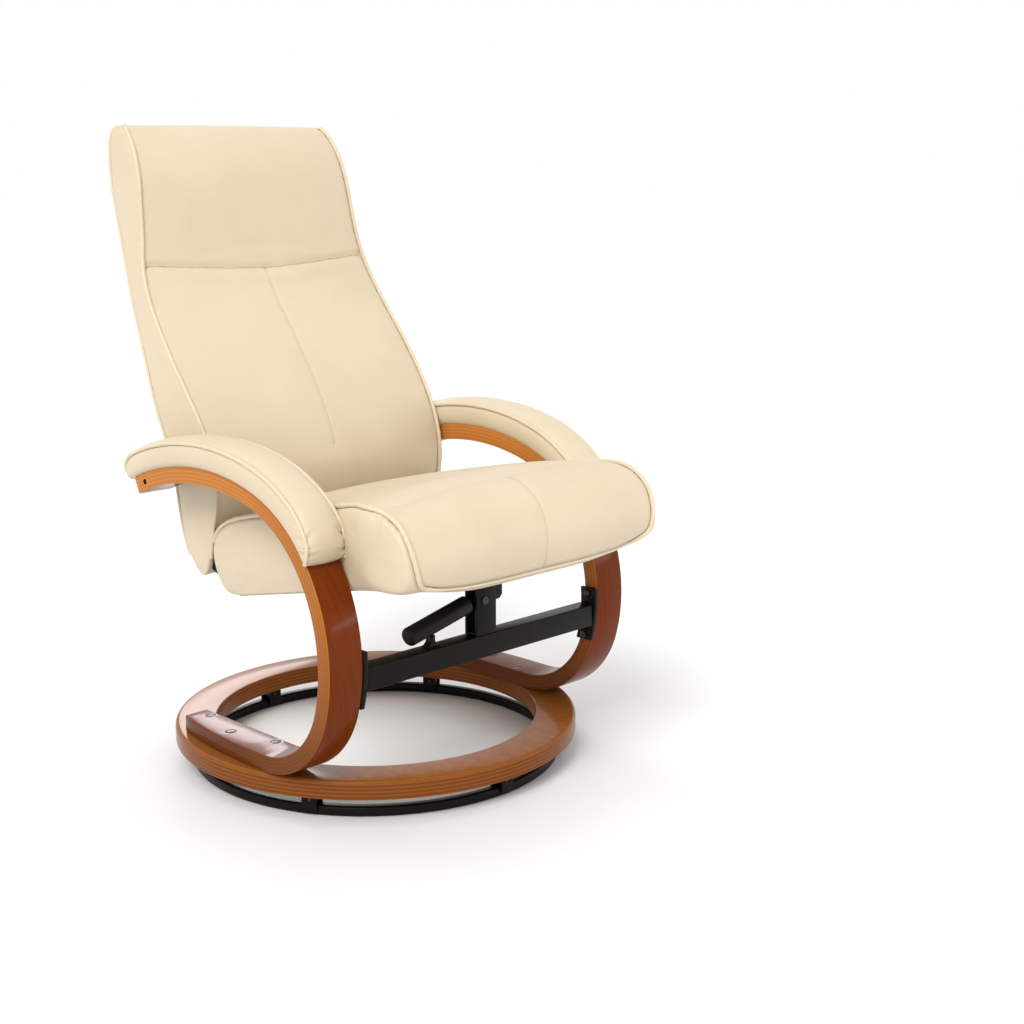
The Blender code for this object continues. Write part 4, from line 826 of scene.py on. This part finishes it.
def walk(points, step=0.003):
    """A smooth line through the points, cut into even steps."""
    points = [Vector(point) for point in points]
    padded = [2 * points[0] - points[1]] + points + [2 * points[-1] - points[-2]]
    fine = []
    for a, b, c, d in zip(padded, padded[1:], padded[2:], padded[3:]):
        for part in range(16):
            t = part / 16
            fine.append(0.5 * (2 * b + (c - a) * t + (2 * a - 5 * b + 4 * c - d) * t ** 2
                               + (3 * b - a - 3 * c + d) * t ** 3))
    fine.append(points[-1])
    line, left = [fine[0]], step
    for a, b in zip(fine, fine[1:]):
        length = (b - a).length
        while length >= left > 0:
            a = a + (b - a) * (left / length)
            length -= left
            left = step
            line.append(a)
        left -= length
    return line


def on_surface(piece, line, lift=0.0):
    """The line laid onto the piece's skin, and lifted off it."""
    tree = BVHTree.FromObject(piece, bpy.context.evaluated_depsgraph_get())
    laid = []
    for point in line:
        place, normal, index, distance = tree.find_nearest(point)
        laid.append(place + normal * lift)
    for turn in range(4):
        laid = [laid[0]] + [(a + 2 * b + c) / 4 for a, b, c in zip(laid, laid[1:], laid[2:])] \
            + [laid[-1]]
    return laid


def tree_of(points):
    """A search tree for how far a place is from a line's points."""
    tree = KDTree(len(points))
    for index, point in enumerate(points):
        tree.insert(point, index)
    tree.balance()
    return tree


def sew(piece, line, depth, reach, gathers=0.0, gathered=(0, 1e9)):
    """Pull the skin in along a seam; gathers add the small tucks that pull away from it, over
    the given stretch of the line."""
    tree = tree_of(line)
    wide = reach * (3.5 if gathers else 1)
    normals = [vertex.normal.copy() for vertex in piece.data.vertices]
    for vertex, normal in zip(piece.data.vertices, normals):
        place, index, distance = tree.find(vertex.co)
        if distance < wide:
            drop = depth * max(1 - distance / reach, 0) ** 2
            if gathers and gathered[0] < index < gathered[1]:
                ends = min(index - gathered[0], gathered[1] - index, 6) / 6
                tuck = noise.noise(Vector((index * 0.42, distance * 60, 0.5)))
                drop += gathers * ends * 2 * tuck * (1 - distance / wide) ** 2
            vertex.co -= normal * drop


def tube(name, line, radius, sides=4, taper=None):
    """A cord along the line, slightly uneven in thickness."""
    start_fresh()
    curve = bpy.data.curves.new(name, "CURVE")
    curve.dimensions = "3D"
    curve.bevel_depth = radius
    curve.bevel_resolution = sides
    curve.use_fill_caps = True
    spline = curve.splines.new("POLY")
    spline.points.add(len(line) - 1)
    for index, (point, place) in enumerate(zip(spline.points, line)):
        point.co = (*place, 1)
        point.radius = 1 + 0.16 * noise.noise(Vector((index * 0.35, radius * 500, 1.7)))
        if taper:
            point.radius *= taper(place)
    piece = bpy.data.objects.new(name, curve)
    add_to_scene(piece)
    make_active(piece)
    bpy.ops.object.convert(target="MESH")
    piece = bpy.context.object
    piece.data.shade_smooth()
    return piece


def welt(name, cushion, body, line, radius, slot, lift=0.35, groove=1.0, gathers=0.0,
         gathered=(0, 1e9), taper=None):
    """Sew a raised welt into a cushion along a line near its skin."""
    laid = on_surface(cushion, line)
    cord = tube(name, on_surface(cushion, line, radius * lift), radius, 4, taper)
    sew(cushion, laid, radius * groove, radius * 2.8, gathers, gathered)
    # the welt takes the lighter copy of the leather, a painted highlight
    return dress(cord, body, HIGHLIT_WELT_LEATHER, slot=slot)


def fine_seam(name, cushion, body, line, slot, depth, reach):
    """A flat seam: a narrow valley with its thread at the bottom."""
    laid = on_surface(cushion, line)
    sew(cushion, laid, depth, reach)
    thread = tube(name, on_surface(cushion, laid, 0.0001), 0.0006, 1)
    return dress(thread, body, THREAD, slot=slot)


# ---------------------------------------------------------------- seat

SEAT_TILT = math.radians(12.3)
SEAT_Y, SEAT_Z = 0.064, 0.292   # rear edge of the underside
SEAT_OUTLINE = (                # rear to front: top along, up, crown; bottom along, up, crown
    ((-0.034, 0.060, 0.00), (-0.028, 0.028, 0.00)), ((-0.030, 0.090, 0.10), (-0.014, 0.006, 0.00)),
    ((-0.004, 0.114, 0.35), (0.012, 0.001, 0.00)), ((0.060, 0.1225, 0.90), (0.070, 0.001, 0.00)),
    ((0.160, 0.1215, 1.00), (0.160, 0.001, 0.00)), ((0.250, 0.1220, 1.00), (0.250, 0.001, 0.00)),
    ((0.330, 0.1225, 1.00), (0.330, -0.004, 0.00)), ((0.375, 0.1205, 1.00), (0.378, -0.015, 0.00)),
    ((0.412, 0.1120, 0.90), (0.424, -0.027, 0.05)), ((0.443, 0.0940, 0.85), (0.453, -0.016, 0.20)),
    ((0.460, 0.0640, 0.80), (0.463, 0.025, 0.60)))
SEAT_CROWN = 0.020
SEAT_CORNER = Vector((-0.252, -0.335, 0.482))
SEAT_HALF = 0.2355
SEAT_UNDER = {8: 0.209, 9: 0.228, 10: 0.2475}       # half width of the front panel underneath
SEAT_SIDE_RISE = {6: 0.005, 7: 0.015, 8: 0.018, 9: 0.010}   # side panels end higher in front


def seat_point(along, up):
    """y and z of a place on the tilted seat."""
    return (SEAT_Y - along * math.cos(SEAT_TILT) + up * math.sin(SEAT_TILT),
            SEAT_Z + along * math.sin(SEAT_TILT) + up * math.cos(SEAT_TILT))


def seat_half(along):
    return SEAT_HALF + 0.0165 * min(max((along - 0.345) / 0.035, 0), 1)


def seat_ring(share, shrink=1.0, side=0.0):
    tops, bottoms = [], []
    for index, (top, bottom) in enumerate(SEAT_OUTLINE):
        middle = Vector(((top[0] + bottom[0]) / 2, (top[1] + bottom[1]) / 2))
        for corner, points, is_top in ((top, tops, True), (bottom, bottoms, False)):
            flat = Vector(corner[:2])
            if not is_top:
                flat.y += SEAT_SIDE_RISE.get(index, 0) * max(abs(share) - 0.6, 0) / 0.4
            away = (flat - middle).normalized()
            if index > 6:
                away = (flat - Vector((0.36, 0.055))).normalized()
            flat = flat + away * SEAT_CROWN * corner[2] * (1 - abs(share) ** 3)
            flat = middle + (flat - middle) * shrink
            flat.x = 0.21 + (flat.x - 0.21) * (0.85 + 0.15 * shrink)
            half = seat_half(corner[0])
            if not is_top and not side:
                half = SEAT_UNDER.get(index, half)
            front = min(max((corner[0] - 0.30) / 0.08, 0), 1)
            x = share * half + math.copysign(side * (1 + 0.5 * front), share) if side \
                else share * half
            points.append((x, *seat_point(flat.x, flat.y)))
    return tops + bottoms[::-1]


def seat():
    panel = ((0.22, 0.0055), (0.60, 0.0070), (0.86, 0.0065), (0.97, 0.0025))
    cushion = cage("seat_leather", all_rings(seat_ring, panel), ((4, 0.35), (14, 0.35)))
    modify(cushion, "SUBSURF", levels=3, render_levels=3)
    sides = [[Vector(point) for point in seat_ring(share)[1:12]] for share in (-1, 1)]
    half = ((0.240, 0.4590, 0.002), (0.226, 0.4560, -0.0100), (0.196, 0.4540, -0.0185),
            (0.120, 0.4580, -0.0215))
    under = [(-x, *seat_point(along, up)) for x, along, up in half]
    under += [(0, *seat_point(0.4600, -0.0215))]
    under += [(x, *seat_point(along, up)) for x, along, up in reversed(half)]
    edge = walk(sides[0] + under + sides[1][::-1])
    seams = on_surface(cushion, edge)
    tree = tree_of(seams)

    def is_sewn(place):
        along_underside = SEAT_Z + (SEAT_Y - place.y) * math.tan(SEAT_TILT)
        if place.z < along_underside + 0.004 and place.y > -0.28:
            return 1
        return max(1 - tree.find(place)[2] / 0.012, 0)

    stuff(cushion, is_sewn, 2.2, 0.008)
    modify(cushion, "SUBSURF", levels=1, render_levels=1)
    corner = min(range(len(edge) // 2), key=lambda index: (edge[index] - SEAT_CORNER).length)
    crest = walk([(x, *seat_point(along, 0.134)) for x, along in
                  ((-0.215, 0.412), (-0.12, 0.405), (-0.02, 0.400), (0.08, 0.396), (0.15, 0.385))])
    sew(cushion, on_surface(cushion, crest), 0.0060, 0.046)

    def thinned(place):
        """The welt is thinner along the lower front edge than up the sides."""
        if place.z >= 0.40:
            return 1
        return 0.45 + 0.55 * min(max(abs(place.x) - 0.19, 0) / 0.03, 1)

    welt("seat_welt", cushion, "seat", edge, 0.0036, "seat_cushion", 0.45, 0.7, 0.0030,
         (corner - 14, corner + 12), thinned)
    sew(cushion, seams, 0.0, 0.003, 0.0016,
        (len(edge) - corner - 12, len(edge) - corner + 14))
    middle = walk([(0, *seat_point(*point)) for point in
                   ((0.410, 0.131), (0.424, 0.124), (0.452, 0.103), (0.476, 0.065),
                    (0.478, 0.030), (0.472, 0.000), (0.4620, -0.021))])
    fine_seam("seat_middle_seam", cushion, "seat", middle, "seat_cushion", 0.0022, 0.0080)
    dress(cushion, "seat", LEATHER, "seat_cushion")


# ---------------------------------------------------------------- back

BACK_SECTIONS = (               # front y, z, rear y, z, half width, from the bottom up
    (0.131, 0.313, 0.146, 0.311, 0.2362), (0.119, 0.345, 0.177, 0.338, 0.2366),
    (0.110, 0.395, 0.195, 0.385, 0.2368), (0.099, 0.440, 0.201, 0.435, 0.2368),
    (0.099, 0.492, 0.211, 0.485, 0.2370), (0.124, 0.550, 0.229, 0.530, 0.2395),
    (0.168, 0.613, 0.248, 0.574, 0.2415), (0.209, 0.665, 0.265, 0.625, 0.2405),
    (0.250, 0.718, 0.293, 0.688, 0.2362), (0.2765, 0.760, 0.3175, 0.738, 0.2312),
    (0.2925, 0.797, 0.339, 0.782, 0.2252), (0.3010, 0.843, 0.360, 0.833, 0.2192),
    (0.3080, 0.888, 0.379, 0.876, 0.2152), (0.3140, 0.930, 0.392, 0.914, 0.2120),
    (0.3290, 0.970, 0.401, 0.955, 0.2080), (0.3500, 0.999, 0.4065, 0.990, 0.2042),
    (0.3700, 1.0165, 0.4010, 1.0135, 0.1990))

HEAD_SEAM_HALF, HEAD_SEAM_Y = 0.2252, 0.2825
HEAD_SEAM = (                   # share of the half width, and height
    (-1, 0.797), (-2 / 3, 0.7885), (-4 / 15, 0.781), (0, 0.779), (4 / 15, 0.781),
    (2 / 3, 0.7885), (1, 0.797))


def back_ring(share, shrink=1.0, side=0.0):
    fronts, rears = [], []
    for index, (front_y, front_z, rear_y, rear_z, half) in enumerate(BACK_SECTIONS):
        front, rear = Vector((front_y, front_z)), Vector((rear_y, rear_z))
        middle = (front + rear) / 2
        forward = (front - rear).normalized()
        crown = 0.0145 * min(index / 6, 1) * (1 - share ** 4)
        front = middle + (front + forward * crown - middle) * shrink
        rear = middle + (rear - middle) * shrink
        x = share * half + math.copysign(side, share) if side else share * half
        fronts.append((x, *front))
        rears.append((x, *rear))
    return fronts + rears[::-1]


def back():
    panel = ((0.30, 0.0028), (0.70, 0.0034), (0.93, 0.0022))
    cushion = cage("back_leather", all_rings(back_ring, panel), ((3, 0.4), (13, 0.4)))
    modify(cushion, "SUBSURF", levels=3, render_levels=3)
    fronts, rears = [], []
    for share in (-1, 1):
        ring = back_ring(share)
        fronts.append(walk(ring[1:17]))
        rears.append(walk(ring[17:33]))
    seams = [point for line in fronts + rears for point in on_surface(cushion, line)]
    head = walk([(share * HEAD_SEAM_HALF, HEAD_SEAM_Y, z) for share, z in HEAD_SEAM])
    seams += on_surface(cushion, head)
    tree = tree_of(seams)
    stuff(cushion, lambda place: max(1 - tree.find(place)[2] / 0.012, 0), 1.6, 0.006)
    modify(cushion, "SUBSURF", levels=1, render_levels=1)
    for (label, side), front, rear in zip(SIDES, fronts, rears):
        welt(f"back_welt_{label}", cushion, "back", front, 0.0033, "back_cushion", 0.55, 0.5,
             0.0004)
        welt(f"back_rear_welt_{label}", cushion, "back", rear, 0.0026, "back_cushion", 0.5, 0.5)
    fine_seam("back_head_seam", cushion, "back", head, "back_cushion", 0.0048, 0.0130)
    closing = walk([(x, 0.213, 0.452) for x in (-0.233, -0.12, 0, 0.12, 0.233)])
    fine_seam("back_closing_seam", cushion, "back", closing, "back_cover", 0.0016, 0.0060)
    middle = walk([(0, 0.292, 0.775), (0, 0.262, 0.735), (0, 0.230, 0.679), (0, 0.190, 0.632),
                   (0, 0.150, 0.590), (0, 0.115, 0.545), (0, 0.095, 0.500)])
    fine_seam("back_middle_seam", cushion, "back", middle, "back_cushion", 0.0020, 0.0070)
    dress(cushion, "back", LEATHER, "back_cushion", "back_cover")


# ---------------------------------------------------------------- arm pads

PAD_LENGTH = 0.452
PAD_X = 0.2810
PAD_SECTION = (                 # across, up from the wood's face, as shares of the full size
    (0.010, 0.000), (0.031, -0.002), (0.0372, 0.008), (0.0384, 0.022), (0.0358, 0.0375),
    (0.0230, 0.0455), (0.0080, 0.0480))
PAD_STATIONS = (                # along from the front end, height share, width share
    (-0.002, 0.16, 0.93), (0.003, 0.42, 0.98), (0.012, 0.63, 1.00), (0.024, 0.79, 1.00),
    (0.044, 0.93, 1.00), (0.075, 1.00, 1.00), (0.125, 1.00, 1.00), (0.190, 0.99, 1.00),
    (0.260, 0.97, 1.00), (0.330, 0.95, 1.00), (0.395, 0.94, 1.00), (0.436, 0.92, 0.99),
    (0.455, 0.80, 0.96), (0.464, 0.58, 0.90), (0.4665, 0.34, 0.84))


def pad_place(along, across, up, side):
    middle, out = arm_place(PAD_LENGTH - along)
    reach = ARM_THICKNESS / 2 + 0.0004 + up
    return Vector((side * (PAD_X + across), middle.x + out.x * reach, middle.y + out.y * reach))


def arm_pad(label, side):
    """The stuffed pad along the top of one arm, tapered at its nose and round at its rear."""
    loops = []
    for along, high, wide in PAD_STATIONS:
        loop = []
        for across, up in PAD_SECTION:
            loop.append(pad_place(along, across * wide, up * high, side))
        for across, up in reversed(PAD_SECTION):
            loop.append(pad_place(along, -across * wide, up * high, side))
        loops.append(loop)
    pad = cage(f"arm_pad_leather_{label}", loops)
    modify(pad, "SUBSURF", levels=3, render_levels=3)
    edges = []
    for way in (1, -1):
        hem = [pad_place(0.0005, way * 0.0350, 0.0060, side)]
        edges.append(walk(hem + [pad_place(along, way * PAD_SECTION[4][0] * wide,
                                           PAD_SECTION[4][1] * high, side)
                                 for along, high, wide in PAD_STATIONS[2:]]))
    seams = [point for edge in edges for point in on_surface(pad, edge)]
    tree = tree_of(seams)

    def is_sewn(place):
        run, offset = arm_at(place.y, place.z)
        if offset < ARM_THICKNESS / 2 + 0.004:
            return 1
        return max(1 - tree.find(place)[2] / 0.010, 0)

    stuff(pad, is_sewn, 1.6, 0.005)
    modify(pad, "SUBSURF", levels=1, render_levels=1)
    for way, edge in zip(("outer", "inner"), edges):
        welt(f"arm_pad_welt_{way}_{label}", pad, "swivel_base", edge, 0.0031,
             f"arm_pad_{label}", 0.45, 0.5, 0.0025, (0, 22))
    dress(pad, "swivel_base", LEATHER, f"arm_pad_{label}")


seat()
back()
for label, side in SIDES:
    arm_pad(label, side)


# ---------------------------------------------------------------- camera, lights and floor

CAMERA_LENS, CAMERA_SENSOR = 58.26, 36
CAMERA_PLACE = (-1.6995, -2.0167, 0.9743)
CAMERA_DOWN, CAMERA_TURN = math.radians(12.30), math.radians(-45)


def camera():
    data = bpy.data.cameras.new("camera")
    eye = bpy.data.objects.new("camera", data)
    data.lens = CAMERA_LENS
    data.sensor_width = CAMERA_SENSOR
    eye.location = CAMERA_PLACE
    eye.rotation_euler = (math.pi / 2 - CAMERA_DOWN, 0, CAMERA_TURN)
    add_to_scene(eye)
    bpy.context.scene.camera = eye


def light(name, kind, place, target, energy, **settings):
    data = bpy.data.lights.new(name, kind)
    data.energy = energy
    for setting, value in settings.items():
        setattr(data, setting, value)
    lamp = bpy.data.objects.new(name, data)
    lamp.location = place
    lamp.rotation_euler = (Vector(target) - Vector(place)).to_track_quat("-Z", "Y").to_euler()
    add_to_scene(lamp)


def studio():
    start_fresh()
    bpy.ops.mesh.primitive_plane_add(size=60, location=(0, 0, -0.0005))
    floor = named("studio_floor")
    floor.data.materials.append(new_material("white floor", (0.76, 0.76, 0.76), 0.8))
    world = bpy.data.worlds.new("studio")
    world.use_nodes = True
    background = world.node_tree.nodes["Background"]
    background.inputs["Color"].default_value = (1, 1, 1, 1)
    background.inputs["Strength"].default_value = 1.0
    bpy.context.scene.world = world
    light("key", "SUN", (-2.4, -1.15, 2.6), (0, 0, 0), 1.95, angle=math.radians(26))
    light("rear softbox", "AREA", (0.86, 1.66, 0.80), (-0.25, 0.05, 0.12), 5.6, shape="RECTANGLE",
          size=0.50, size_y=0.42)
    light("band", "AREA", (1.6, -2.2, 0.62), (0.1, -0.25, 0.30), 6, shape="RECTANGLE", size=1.6,
          size_y=0.14)
    bpy.context.scene.view_settings.view_transform = "Standard"


camera()
studio()
